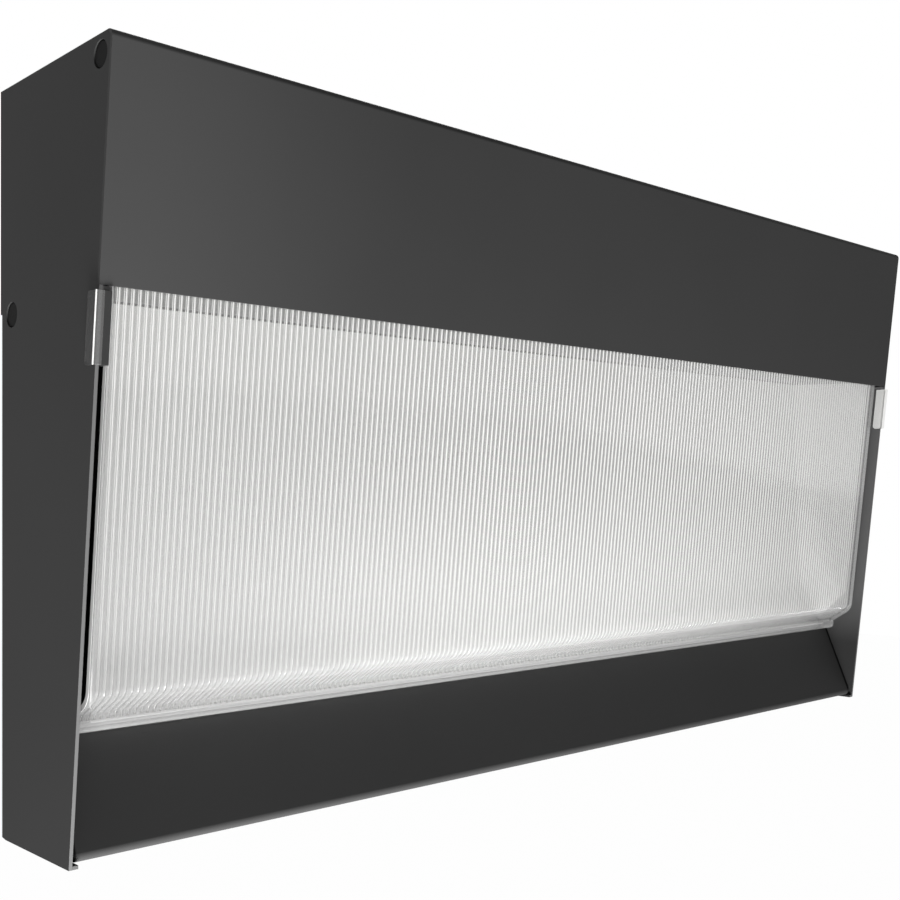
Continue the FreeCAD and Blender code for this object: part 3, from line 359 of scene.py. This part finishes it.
def bare_edge_and_corner_shade(tree, place, tone):
    """Mixes in the bare edge's grey in the last millimetre below the reflector's top, and paints shade:
    scales the tone by 1 + CORNER_SHADE * left * low, where left and low ease from 0 to 1 toward the lower
    left corner."""
    spot = add(tree, "ShaderNodeSeparateXYZ", {0: place}).outputs
    edge = add(tree, "ShaderNodeMapRange", {"Value": spot["Z"], "From Min": (REFLECTOR_TOP - 1.3) * MM,
                                            "From Max": (REFLECTOR_TOP - 1.0) * MM})
    left = add(tree, "ShaderNodeMapRange", {"Value": spot["X"], "From Min": -100 * MM,
                                            "From Max": -290 * MM}, interpolation_type="SMOOTHSTEP")
    low = add(tree, "ShaderNodeMapRange", {"Value": spot["Z"], "From Min": 30 * MM,
                                           "From Max": -70 * MM}, interpolation_type="SMOOTHSTEP")
    # painted shade: left and low together mark the corner
    corner = add(tree, "ShaderNodeMath", {0: left.outputs[0], 1: low.outputs[0]}, operation="MULTIPLY")
    share = add(tree, "ShaderNodeMath", {0: corner.outputs[0], 1: CORNER_SHADE, 2: 1.0},
                operation="MULTIPLY_ADD")
    tone = add(tree, "ShaderNodeVectorMath", {0: tone, "Scale": share.outputs[0]},
               operation="SCALE").outputs[0]
    return add(tree, "ShaderNodeMix", {0: edge.outputs[0], 6: tone, 7: colour("#4c4c4a")},
               data_type="RGBA").outputs[2]


white_enamel = skin("white_enamel", "#ebebea", "#efefee", 120, 1.5, 0.004, 0.7, 0.05, 0.2,
                    cover=bare_edge_and_corner_shade)
print("enamel", white_enamel.name)

# %% [markdown]
# Bare aluminium keeps the rolling mill's lines along its length. Zinc plating on small steel parts
# grows in tiny crystals that each reflect a little differently, so its tone is broken into cells; the
# earth screw has the same plating dyed green. The side screws are blackened in hot oxide, which is
# thin, dark and slightly oily. Brass screws show the lathe's fine turning.

# %% Metals


def crystals(cell, light):
    """A cover that lightens each Voronoi cell of `cell` mm by its own share of `light`."""
    def cover(tree, place, tone):
        grown = add(tree, "ShaderNodeTexVoronoi", {"Vector": place, "Scale": 1 / (cell * MM)})
        share = add(tree, "ShaderNodeSeparateColor", {0: grown.outputs["Color"]}).outputs[0]
        return add(tree, "ShaderNodeMix", {0: share, 6: tone, 7: colour(light)}, data_type="RGBA").outputs[2]
    return cover


bare_aluminium = skin("bare_aluminium", "#c2c3c5", "#cccdcf", 80, 0.5, 0.003, 0.36, 0.10, 0.5, 1.0,
                      pull=(0.03, 1.0, 1.0))
zinc_plated_steel = skin("zinc_plated_steel", "#b2b6ba", "#bfc3c6", 20, 0.5, 0.003, 0.32, 0.08, 0.5, 1.0,
                         cover=crystals(1.6, "#d0d3d5"))
green_zinc = skin("green_zinc", "#2c7f45", "#35935a", 8, 0.4, 0.003, 0.38, 0.08, 0.5, 0.8,
                  cover=crystals(1.2, "#4aa565"))
black_oxide_steel = skin("black_oxide_steel", "#121212", "#161616", 6, 0.4, 0.003, 0.5, 0.06, 0.03)
brass = skin("brass", "#c29a4e", "#cda85c", 10, 0.3, 0.003, 0.3, 0.08, 0.5, 1.0, pull=(1.0, 0.05, 1.0))
print("metals", bare_aluminium.name, zinc_plated_steel.name, green_zinc.name, brass.name)

# %% [markdown]
# The lamp boards are aluminium-backed circuit boards under a white solder mask. The copper below it
# shows as faint rectangles, one for each lamp, with narrow gaps between. The lamps themselves are
# white packages with a round window of yellow phosphor; an attribute says which is which.

# %% Board and lamps


def copper_lands(tree, place, tone):
    """Rectangles of a brick pattern, 11 mm by 8 mm with 0.5 mm gaps; the gaps show the board's core."""
    lands = add(tree, "ShaderNodeTexBrick", {"Vector": place, "Scale": 1.0, "Color1": colour("#f0efe8"),
                                             "Color2": colour("#e7e6de"), "Mortar": colour("#d2d1c8"),
                                             "Mortar Size": 0.25 * MM, "Brick Width": 11.3 * MM,
                                             "Row Height": 8.0 * MM}, offset=0.5)
    return add(tree, "ShaderNodeMix", {0: 0.8, 6: tone, 7: lands.outputs["Color"]},
               data_type="RGBA").outputs[2]


def phosphor_window(tree, place, tone):
    """Mixes in the phosphor's yellow by the point attribute phosphor."""
    window = add(tree, "ShaderNodeAttribute", attribute_name="phosphor")
    return add(tree, "ShaderNodeMix", {0: window.outputs["Fac"], 6: tone, 7: colour("#e2c74c")},
               data_type="RGBA").outputs[2]


white_solder_mask = skin("white_solder_mask", "#ecebe4", "#f2f1ea", 30, 0.3, 0.002, 0.35, 0.06, 0.4,
                         cover=copper_lands)
phosphor_resin = skin("phosphor_resin", "#f0efe8", "#f5f4ee", 5, 0.2, 0.002, 0.3, 0.06, 0.5,
                      cover=phosphor_window)
print("board and lamps", white_solder_mask.name, phosphor_resin.name)

# %% [markdown]
# Foam and rubber seal the light. Foam is a mass of open pores, so it has no shine and looks black.
# Rubber has the satin skin of its mould. The driver, the terminal block and the surge protector have
# spark-eroded moulded skins, each with its own grain.

# %% Foam, rubber and moulded plastics
black_foam = skin("black_foam", "#161616", "#1e1e1e", 4, 0.7, 0.20, 0.92, 0.05, 0.1,
                  cover=crystals(0.8, "#262626"))
black_rubber = skin("black_rubber", "#161616", "#1b1b1b", 15, 0.5, 0.010, 0.6, 0.08, 0.3)
driver_plastic = skin("driver_plastic", "#8a8c8e", "#929496", 40, 0.5, 0.020, 0.5, 0.06, 0.4)
terminal_plastic = skin("terminal_plastic", "#d5d1c5", "#ddd9ce", 20, 0.4, 0.012, 0.45, 0.06, 0.4)
surge_plastic = skin("surge_plastic", "#1b1b1d", "#212123", 20, 0.4, 0.015, 0.5, 0.06, 0.4)
print("plastics", driver_plastic.name, terminal_plastic.name, surge_plastic.name)

# %% [markdown]
# The lens and the clips are clear polycarbonate. A clear sheet shows three things: what lies behind it,
# a mirror of the white surround that grows at a slant, and a faint milky haze. The flanks of its ribs
# throw the light sideways inside the plastic, so they look white. Real bending of the light through
# two hundred ribs would be slow and speckled, so the flanks carry an attribute called flank instead.

# %% A clear plastic
HEAD_ON_MIRROR = 0.05  # what clear plastic mirrors where it is seen head on
EDGE_WHITE = 0.96      # how far flank = 1 covers what lies behind
EDGE_SHADE = 0.85      # how far shade = 1 does


def clear_plastic(name, haze, milk, tint, mirror_share=1.0, masks=None):
    """Mirror = share * (0.05 + 0.95 * (1 - cos)^5) of what comes in; the rest is tinted see-through, with
    haze * (0.7 to 1.3) + 0.96 * flank + 0.85 * shade of it replaced by milk, white or dark grey."""
    finish, tree = new_finish(name)
    place = add(tree, "ShaderNodeTexCoord").outputs["Object"]
    flank = add(tree, "ShaderNodeAttribute", attribute_name="flank").outputs["Fac"]
    shade = 0.0
    if masks:
        flank, shade = masks(tree, place)
    slant = add(tree, "ShaderNodeLayerWeight", {"Blend": 0.5}).outputs["Facing"]
    slant = add(tree, "ShaderNodeMath", {0: slant, 1: 5.0}, operation="POWER").outputs[0]
    slant = add(tree, "ShaderNodeMapRange", {"Value": slant, "To Min": HEAD_ON_MIRROR * mirror_share,
                                             "To Max": mirror_share}).outputs[0]
    smear = add(tree, "ShaderNodeTexNoise", {"Vector": place, "Scale": 1 / (25 * MM), "Detail": 2.0})
    smear = add(tree, "ShaderNodeMapRange", {"Value": smear.outputs["Fac"], "To Min": haze * 0.7,
                                             "To Max": haze * 1.3}).outputs[0]
    cloud = add(tree, "ShaderNodeMath", {0: shade, 1: EDGE_SHADE, 2: smear},
                operation="MULTIPLY_ADD").outputs[0]
    cloud = add(tree, "ShaderNodeMath", {0: flank, 1: EDGE_WHITE, 2: cloud}, operation="MULTIPLY_ADD",
                use_clamp=True)
    tone = add(tree, "ShaderNodeMix", {0: shade, 6: colour(milk), 7: colour("#2c2c2c")},
               data_type="RGBA").outputs[2]
    tone = add(tree, "ShaderNodeMix", {0: flank, 6: tone, 7: colour("#fafaf8")}, data_type="RGBA").outputs[2]
    through = add(tree, "ShaderNodeBsdfTransparent", {"Color": colour(tint)})
    white = add(tree, "ShaderNodeBsdfPrincipled", {"Base Color": tone, "Roughness": 0.3,
                                                   "Specular IOR Level": 0.3})
    mirror = add(tree, "ShaderNodeBsdfGlossy", {"Color": (1, 1, 1, 1), "Roughness": 0.08})
    body = add(tree, "ShaderNodeMixShader", {0: cloud.outputs[0], 1: through.outputs[0], 2: white.outputs[0]})
    skinned = add(tree, "ShaderNodeMixShader", {0: slant, 1: body.outputs[0], 2: mirror.outputs[0]})
    surface(tree, skinned.outputs[0])
    return finish


clear_polycarbonate = clear_plastic("clear_polycarbonate", 0.11, "#b0b0b0", "#fbfbfb")
print("lens plastic", clear_polycarbonate.name)

# %% [markdown]
# The clips are the same plastic, but they are small and thick, with rounded corners that work as little
# rods: each gathers the white surround or the dark steel into a stripe. These stripes are painted: a
# painted highlight on the left clip's outer corner, painted shade on its inner leg, and the right clip,
# which stands before the white ground, is painted white all over.

# %% The clips' plastic


def clip_painted_highlight_and_shade(tree, place):
    """Painted highlight: 1 on the outer front corner, 0.16 on the front, 0.85 all over the right clip's outer
    part.
    Painted shade: 1 on the left clip's inner leg, between x = -303.2 mm and -203.2 mm."""
    x = add(tree, "ShaderNodeSeparateXYZ", {0: place}).outputs["X"]
    # painted highlight on the clips' corners and fronts, painted shade on the left inner leg
    away = add(tree, "ShaderNodeMath", {0: x}, operation="ABSOLUTE").outputs[0]
    corner = add(tree, "ShaderNodeMath", {0: away, 1: 306.45 * MM}, operation="GREATER_THAN").outputs[0]
    behind = add(tree, "ShaderNodeVectorMath", {0: place, 1: (0.0, 1.0, 0.1125)}, operation="DOT_PRODUCT")
    front = add(tree, "ShaderNodeMath", {0: behind.outputs["Value"], 1: -83.0 * MM},
                operation="LESS_THAN").outputs[0]
    outer = add(tree, "ShaderNodeMath", {0: away, 1: 303.2 * MM}, operation="GREATER_THAN").outputs[0]
    face = add(tree, "ShaderNodeMath", {0: front, 1: outer}, operation="MULTIPLY").outputs[0]
    right = add(tree, "ShaderNodeMath", {0: x, 1: 303.2 * MM}, operation="GREATER_THAN").outputs[0]
    inner = add(tree, "ShaderNodeMath", {0: x, 1: -253.2 * MM, 2: 50.0 * MM}, operation="COMPARE").outputs[0]
    white = add(tree, "ShaderNodeMath", {0: corner, 1: front}, operation="MULTIPLY").outputs[0]
    white = add(tree, "ShaderNodeMath", {0: face, 1: 0.16, 2: white}, operation="MULTIPLY_ADD").outputs[0]
    white = add(tree, "ShaderNodeMath", {0: right, 1: 0.85, 2: white}, operation="MULTIPLY_ADD").outputs[0]
    return white, inner


clear_clip_plastic = clear_plastic("clear_clip_plastic", 0.06, "#a0a0a0", "#e6e6e6", 0.15, masks=clip_painted_highlight_and_shade)
print("clip plastic", clear_clip_plastic.name)

# %% [markdown]
# The record names a material slot for each node, and the finishes have the slots' names. So one loop
# puts each finish on its nodes, also on those that a finer piece replaces further on, since a copy of
# a node takes its finish along.

# %% Each node gets the finish that its record names
slots = {part["node"]: part["material_slot"] for part in frame["record"]["subparts"]}
for name, piece in nodes.items():
    for place in piece.material_slots:
        place.material = finishes[slots[name]]
print("dressed", len(nodes), "nodes with", len(finishes), "finishes")

# %% [markdown]
# ## Softened edges
# Folded sheet and moulded plastic have no razor edges: each edge is rounded by a few tenths of a
# millimetre, and that is what catches the light. The CAD pieces are copied, their loose triangles
# merged, their flat faces joined again, and a small bevel rounds what is left.

# %% A softened copy of a node


def softened(node, width, segments=2, angle=25.0):
    """A copy of a CAD node with merged points, joined flats and edges rounded over `width` mm."""
    source = nodes[node]
    mesh = source.data.copy()
    mesh.name = node + "_soft"
    work = bmesh.new()
    work.from_mesh(mesh)
    bmesh.ops.remove_doubles(work, verts=work.verts, dist=1e-6)
    bmesh.ops.dissolve_limit(work, angle_limit=math.radians(1.0), verts=work.verts, edges=work.edges)
    work.to_mesh(mesh)
    work.free()
    piece = bpy.data.objects.new(mesh.name, mesh)
    bpy.context.scene.collection.objects.link(piece)
    mesh.shade_smooth()
    edge = piece.modifiers.new("edge", "BEVEL")
    edge.width = width * MM
    edge.segments = segments
    edge.limit_method = "ANGLE"
    edge.angle_limit = math.radians(angle)
    edge.use_clamp_overlap = True
    even = piece.modifiers.new("even", "WEIGHTED_NORMAL")
    even.weight = 100
    even.keep_sharp = False
    body = body_of(source)
    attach(piece, body if isinstance(body, str) else body[0])
    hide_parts(node)
    return piece


print("pieces are softened by", softened.__name__)

# %% [markdown]
# The width of the rounding follows the material: foam and moulded plastic are rounder than sheet. The
# lens and the lamps are left out, because they are made anew further on. The side panels, the sill and
# the band share one slot, and each gets its own version of the coat.

# %% Soften the pieces
WIDTHS = {"clear_clip_plastic": 0.25, "dark_powder_coat": 0.3, "dark_inner_coat": 0.3,
          "black_oxide_steel": 0.3, "driver_plastic": 0.8, "surge_plastic": 0.6, "black_foam": 0.6,
          "white_enamel": 0.2, "white_solder_mask": 0.1, "bare_aluminium": 0.2}
SMALL_PART_WIDTH = 0.15
REMADE = ("lens", "lamps_left", "lamps_middle", "lamps_right")
soft = {node: softened(node, WIDTHS.get(slots[node], SMALL_PART_WIDTH)) for node in nodes
        if node not in REMADE}
for node in ("side_panel_left", "side_panel_right"):
    soft[node].data.materials[0] = dark_side_coat
soft["sill_panel"].data.materials[0] = dark_sill_coat
soft["fascia_cover"].data.materials[0] = dark_band_coat
print("softened", len(soft), "pieces,", sum(len(piece.data.polygons) for piece in soft.values()), "faces")

# %% [markdown]
# ## The lens
# The lens is one clear sheet. It hangs from behind the blank band, bends back above the sill, drops
# in a plain lip and turns under as a foot. Narrow ribs stand on its inner face, 3 mm apart, and follow
# the bend. It is one section, smooth outside and ribbed inside, carried along the lens's own line.

# %% The lens's line
DEPTH_AT_FOOT = 64.0
LEAN = 36.0 / 320.0
HALF_HEIGHT = 160.0


def front_y(z):
    """Y of the sloped front plane, in mm, at a height z from the bottom edge."""
    return -(DEPTH_AT_FOOT + LEAN * z)


def rounded_line(corners, radii, steps):
    """Points and left normals of a line whose corners are arcs. An arc starts radius * tan(turn / 2)
    before its corner: point = start + side * radius * (1 - cos) + into * radius * sin."""
    points, normals = [corners[0]], []
    for before, corner, after, radius, count in zip(corners, corners[1:], corners[2:], radii, steps):
        into = (corner - before) / np.linalg.norm(corner - before)
        out = (after - corner) / np.linalg.norm(after - corner)
        turn = math.acos(float(into @ out))
        side = out - into * (into @ out)
        side /= np.linalg.norm(side)
        start = corner - into * (radius * math.tan(turn / 2))
        angle = np.linspace(0.0, turn, count)[:, None]
        arc = start + side * radius - side * (radius * np.cos(angle)) + into * (radius * np.sin(angle))
        run = into * np.cos(angle) + side * np.sin(angle)
        if not normals:
            normals.append([-run[0, 1], run[0, 0]])
        points += arc.tolist()
        normals += np.stack([-run[:, 1], run[:, 0]], axis=1).tolist()
    points.append(corners[-1])
    normals.append(normals[-1])
    return np.array([np.asarray(point) for point in points]), np.array(normals)


SET_BACK = 3.8                     # outer face behind the front plane, in mm
TOP, BEND, LIP_FOOT = 236.0, 64.9, 50.4  # heights above the bottom edge, in mm
SLOPE_RUN, SLOPE_FALL = 14.4, math.radians(31.7)
FOOT_RUN = 12.0
RIB_END_HEIGHTS = (55.4, 55.1)     # the ribs fade out between these, at the top of the lip
RIB_END = 17                       # the line's row where they end
lens_top = np.array([front_y(TOP) + SET_BACK, TOP])
lens_corner = np.array([front_y(BEND) + SET_BACK, BEND])
slope_end = lens_corner + np.array([SLOPE_RUN, -SLOPE_RUN * math.tan(SLOPE_FALL)])
lip_corner = np.array([slope_end[0], LIP_FOOT])
foot_end = lip_corner + np.array([FOOT_RUN, 0.0])
line, line_normals = rounded_line([lens_top, lens_corner, slope_end, lip_corner, foot_end],
                                  radii=[10.0, 0.6, 2.8], steps=[12, 4, 6])
lip = np.array([[slope_end[0], height] for height in RIB_END_HEIGHTS])
line = np.insert(line, [RIB_END, RIB_END], lip, axis=0)
line_normals = np.insert(line_normals, [RIB_END, RIB_END], [[1.0, 0.0], [1.0, 0.0]], axis=0)
print("lens line", len(line), "points, ribs end on the lip at row", RIB_END)

# %% [markdown]
# A rib is a low ridge with steep flanks and a flat back. Seen from in front each pitch shows two white
# lines, a clear stripe between them down the rib's back, and a clear gap to the next rib. The table
# PITCH gives that for one pitch, and numpy repeats it 195 times. How white a rib looks changes down
# the lens, round the bend and along its length, so the tables hold that too.

# %% One pitch of the ribs
RIBS = 195
LENS_WALL = 2.2
RIB_HEIGHT = 0.65
LENS_ENDS = (-298.65, 296.85)  # mm
PLAIN_END = 2.75               # from each end to the first rib
END_ROUNDING = 0.4
BEND_ROWS = 8                  # rows of the line over which the white eases to the bend's
LIP_WHITE, RIB_END_WHITE = 0.30, 0.32
LEFT_END_WHITE, RIGHT_END_WHITE = 0.8, 0.3
# along the lens: place in mm, share of the foot's white that stays, white added everywhere
ALONG = np.array([[-300, 0.68, 0.00], [-260, 0.78, 0.02], [-215, 0.84, 0.04], [-150, 0.90, 0.09],
                  [-70, 0.97, 0.11], [30, 1.00, 0.12], [150, 1.08, 0.05], [240, 1.10, -0.06],
                  [300, 1.10, -0.12]])
# across one pitch: place (share of the pitch), rise, white at the top of the lens, at its foot, in the bend
PITCH = np.array([
    [0.00, 0.00, 0.00, 0.50, 0.32], [0.07, 0.00, 0.00, 0.50, 0.32], [0.38, 0.00, 0.00, 0.46, 0.31],
    [0.44, 0.00, 0.00, 0.03, 0.20], [0.48, 0.30, 0.75, 0.06, 0.20], [0.51, 0.85, 0.75, 0.45, 0.30],
    [0.55, 1.00, 1.00, 0.62, 0.36], [0.65, 1.00, 1.00, 0.62, 0.36], [0.70, 1.00, 0.05, 0.58, 0.34],
    [0.79, 1.00, 0.05, 0.58, 0.34], [0.84, 1.00, 1.00, 0.62, 0.36], [0.92, 1.00, 1.00, 0.62, 0.36],
    [0.96, 0.85, 0.75, 0.56, 0.33], [0.99, 0.30, 0.75, 0.52, 0.32]])
print("pitch", (LENS_ENDS[1] - LENS_ENDS[0] - 2 * PLAIN_END) / RIBS, "mm")

# %% The ribbed sheet


def lens_mesh():
    """Section (x, depth) carried along the line: point = line + normal * depth, where depth is 0 outside
    and wall + rib height * rise inside. The rise stops at row RIB_END, where the lip starts."""
    x0, x1 = LENS_ENDS
    pitch = (x1 - x0 - 2 * PLAIN_END) / RIBS
    x_in = (x0 + PLAIN_END + (np.arange(RIBS)[:, None] + PITCH[:, 0]) * pitch).ravel()
    left = np.array([x0 + END_ROUNDING, x0, x0, x0 + END_ROUNDING])
    right = np.array([x1 - END_ROUNDING, x1, x1, x1 - END_ROUNDING])
    wall = np.array([0.0, 0.0, LENS_WALL, LENS_WALL])
    x = np.concatenate([left, x_in, right])
    base = np.concatenate([wall, np.full(len(x_in), LENS_WALL), wall[::-1]])
    rise = np.pad(np.tile(PITCH[:, 1], RIBS), 4)
    white = np.pad(np.tile(PITCH[:, 2:].T, RIBS), ((0, 0), (4, 4)))
    height = (np.arange(len(line)) <= RIB_END)[:, None]
    depth = base + RIB_HEIGHT * height * rise
    grid = np.empty((len(line), len(x), 3))
    grid[..., 0] = x
    grid[..., 1:] = line[:, None, :] + line_normals[:, None, :] * depth[..., None]
    grid[..., 2] -= HALF_HEIGHT
    mesh = grid_mesh("lens_ribbed", grid * MM, closed_u=True, ends=True)
    flank = np.empty(depth.shape)
    stays, added = (np.interp(x, ALONG[:, 0], ALONG[:, column]) for column in (1, 2))
    bend = np.clip((np.arange(RIB_END + 1) - 1) / BEND_ROWS, 0.0, 1.0)[:, None]
    flank[:RIB_END + 1] = stays * ((1.0 - bend) * white[1] + bend * white[2]) + added
    flank[0] = white[0] + added
    flank[RIB_END - 1:RIB_END + 1] = stays * np.maximum(RIB_END_WHITE, 0.8 * white[0]) + added
    flank[RIB_END + 1:] = stays * LIP_WHITE + added
    flank = np.clip(flank, 0.0, 1.0)
    flank[:RIB_END + 1, x == x0] = LEFT_END_WHITE
    flank[:RIB_END + 1, x == x1] = RIGHT_END_WHITE
    data = mesh.attributes.new("flank", "FLOAT", "POINT")
    data.data.foreach_set("value", flank.astype(np.float32).ravel())
    mesh.shade_smooth()
    mesh.set_sharp_from_angle(angle=math.radians(40.0))
    return mesh


lens_sheet = placed(lens_mesh(), clear_polycarbonate)
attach(lens_sheet, "cover")
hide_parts("lens")
print("lens", len(lens_sheet.data.vertices), "points")

# %% [markdown]
# ## The lamps
# Each lamp is a small white package, nearly square, with a raised rim around a round window of phosphor.
# Its rings run from the foot over the rim into the window. Each ring is a superellipse whose power goes
# from nearly square at the foot to a circle at the window. They sit where the CAD solids sit.

# %% One lamp package
LAMP_GAP = 4.0  # mm; solids of a node that lie further apart along X are separate lamps
LAMP_RINGS = np.array([  # size, height, power (1 is a circle), phosphor
    [0.00, 0.00, 0.25, 0], [1.00, 0.00, 0.25, 0], [1.00, 0.55, 0.25, 0], [0.92, 0.95, 0.28, 0],
    [0.86, 1.00, 0.32, 0], [0.76, 1.00, 0.60, 0], [0.70, 0.94, 0.90, 0], [0.66, 0.76, 1.00, 1],
    [0.45, 0.80, 1.00, 1], [0.00, 0.82, 1.00, 1]])


def island_boxes(node):
    """The low and high corners of each separate solid of a node whose solids lie apart along X."""
    points = np.empty(len(nodes[node].data.vertices) * 3)
    nodes[node].data.vertices.foreach_get("co", points)
    points = points.reshape(-1, 3)
    points = points[np.argsort(points[:, 0])]
    groups = np.split(points, np.flatnonzero(np.diff(points[:, 0]) > LAMP_GAP * MM) + 1)
    return np.array([[group.min(axis=0), group.max(axis=0)] for group in groups])


def lamp_mesh(node, sides=24):
    """All lamps of a board: x, y = centre + half size * sign * |cos|^power, |sin|^power; z goes down."""
    boxes = island_boxes(node)
    centre, half = boxes.mean(axis=1), (boxes[:, 1] - boxes[:, 0]) / 2
    angle = -np.linspace(0.0, 2 * math.pi, sides, endpoint=False) - math.pi / sides
    size, height, power, glow = (column[:, None] for column in LAMP_RINGS.T)
    across = size * np.sign(np.cos(angle)) * np.abs(np.cos(angle)) ** power
    along = size * np.sign(np.sin(angle)) * np.abs(np.sin(angle)) ** power
    down = np.broadcast_to(height, across.shape)
    unit = np.stack([across, along, 1.0 - 2.0 * down], axis=-1)
    mesh = bpy.data.meshes.new(node + "_packages")
    work = bmesh.new()
    for middle, reach in zip(centre, half):
        one = grid_mesh("one", middle + unit * reach, closed_u=True)
        data = one.attributes.new("phosphor", "FLOAT", "POINT")
        data.data.foreach_set("value", np.broadcast_to(glow, across.shape).astype(np.float32).ravel())
        work.from_mesh(one)
        bpy.data.meshes.remove(one)
    bmesh.ops.remove_doubles(work, verts=work.verts, dist=1e-6)
    work.to_mesh(mesh)
    work.free()
    mesh.shade_smooth()
    return mesh


print("rings of a lamp", len(LAMP_RINGS))

# %% All lamps
for node in ("lamps_left", "lamps_middle", "lamps_right"):
    packages = placed(lamp_mesh(node), phosphor_resin)
    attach(packages, "cover")
    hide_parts(node)
    print(packages.name, len(packages.data.polygons), "faces")
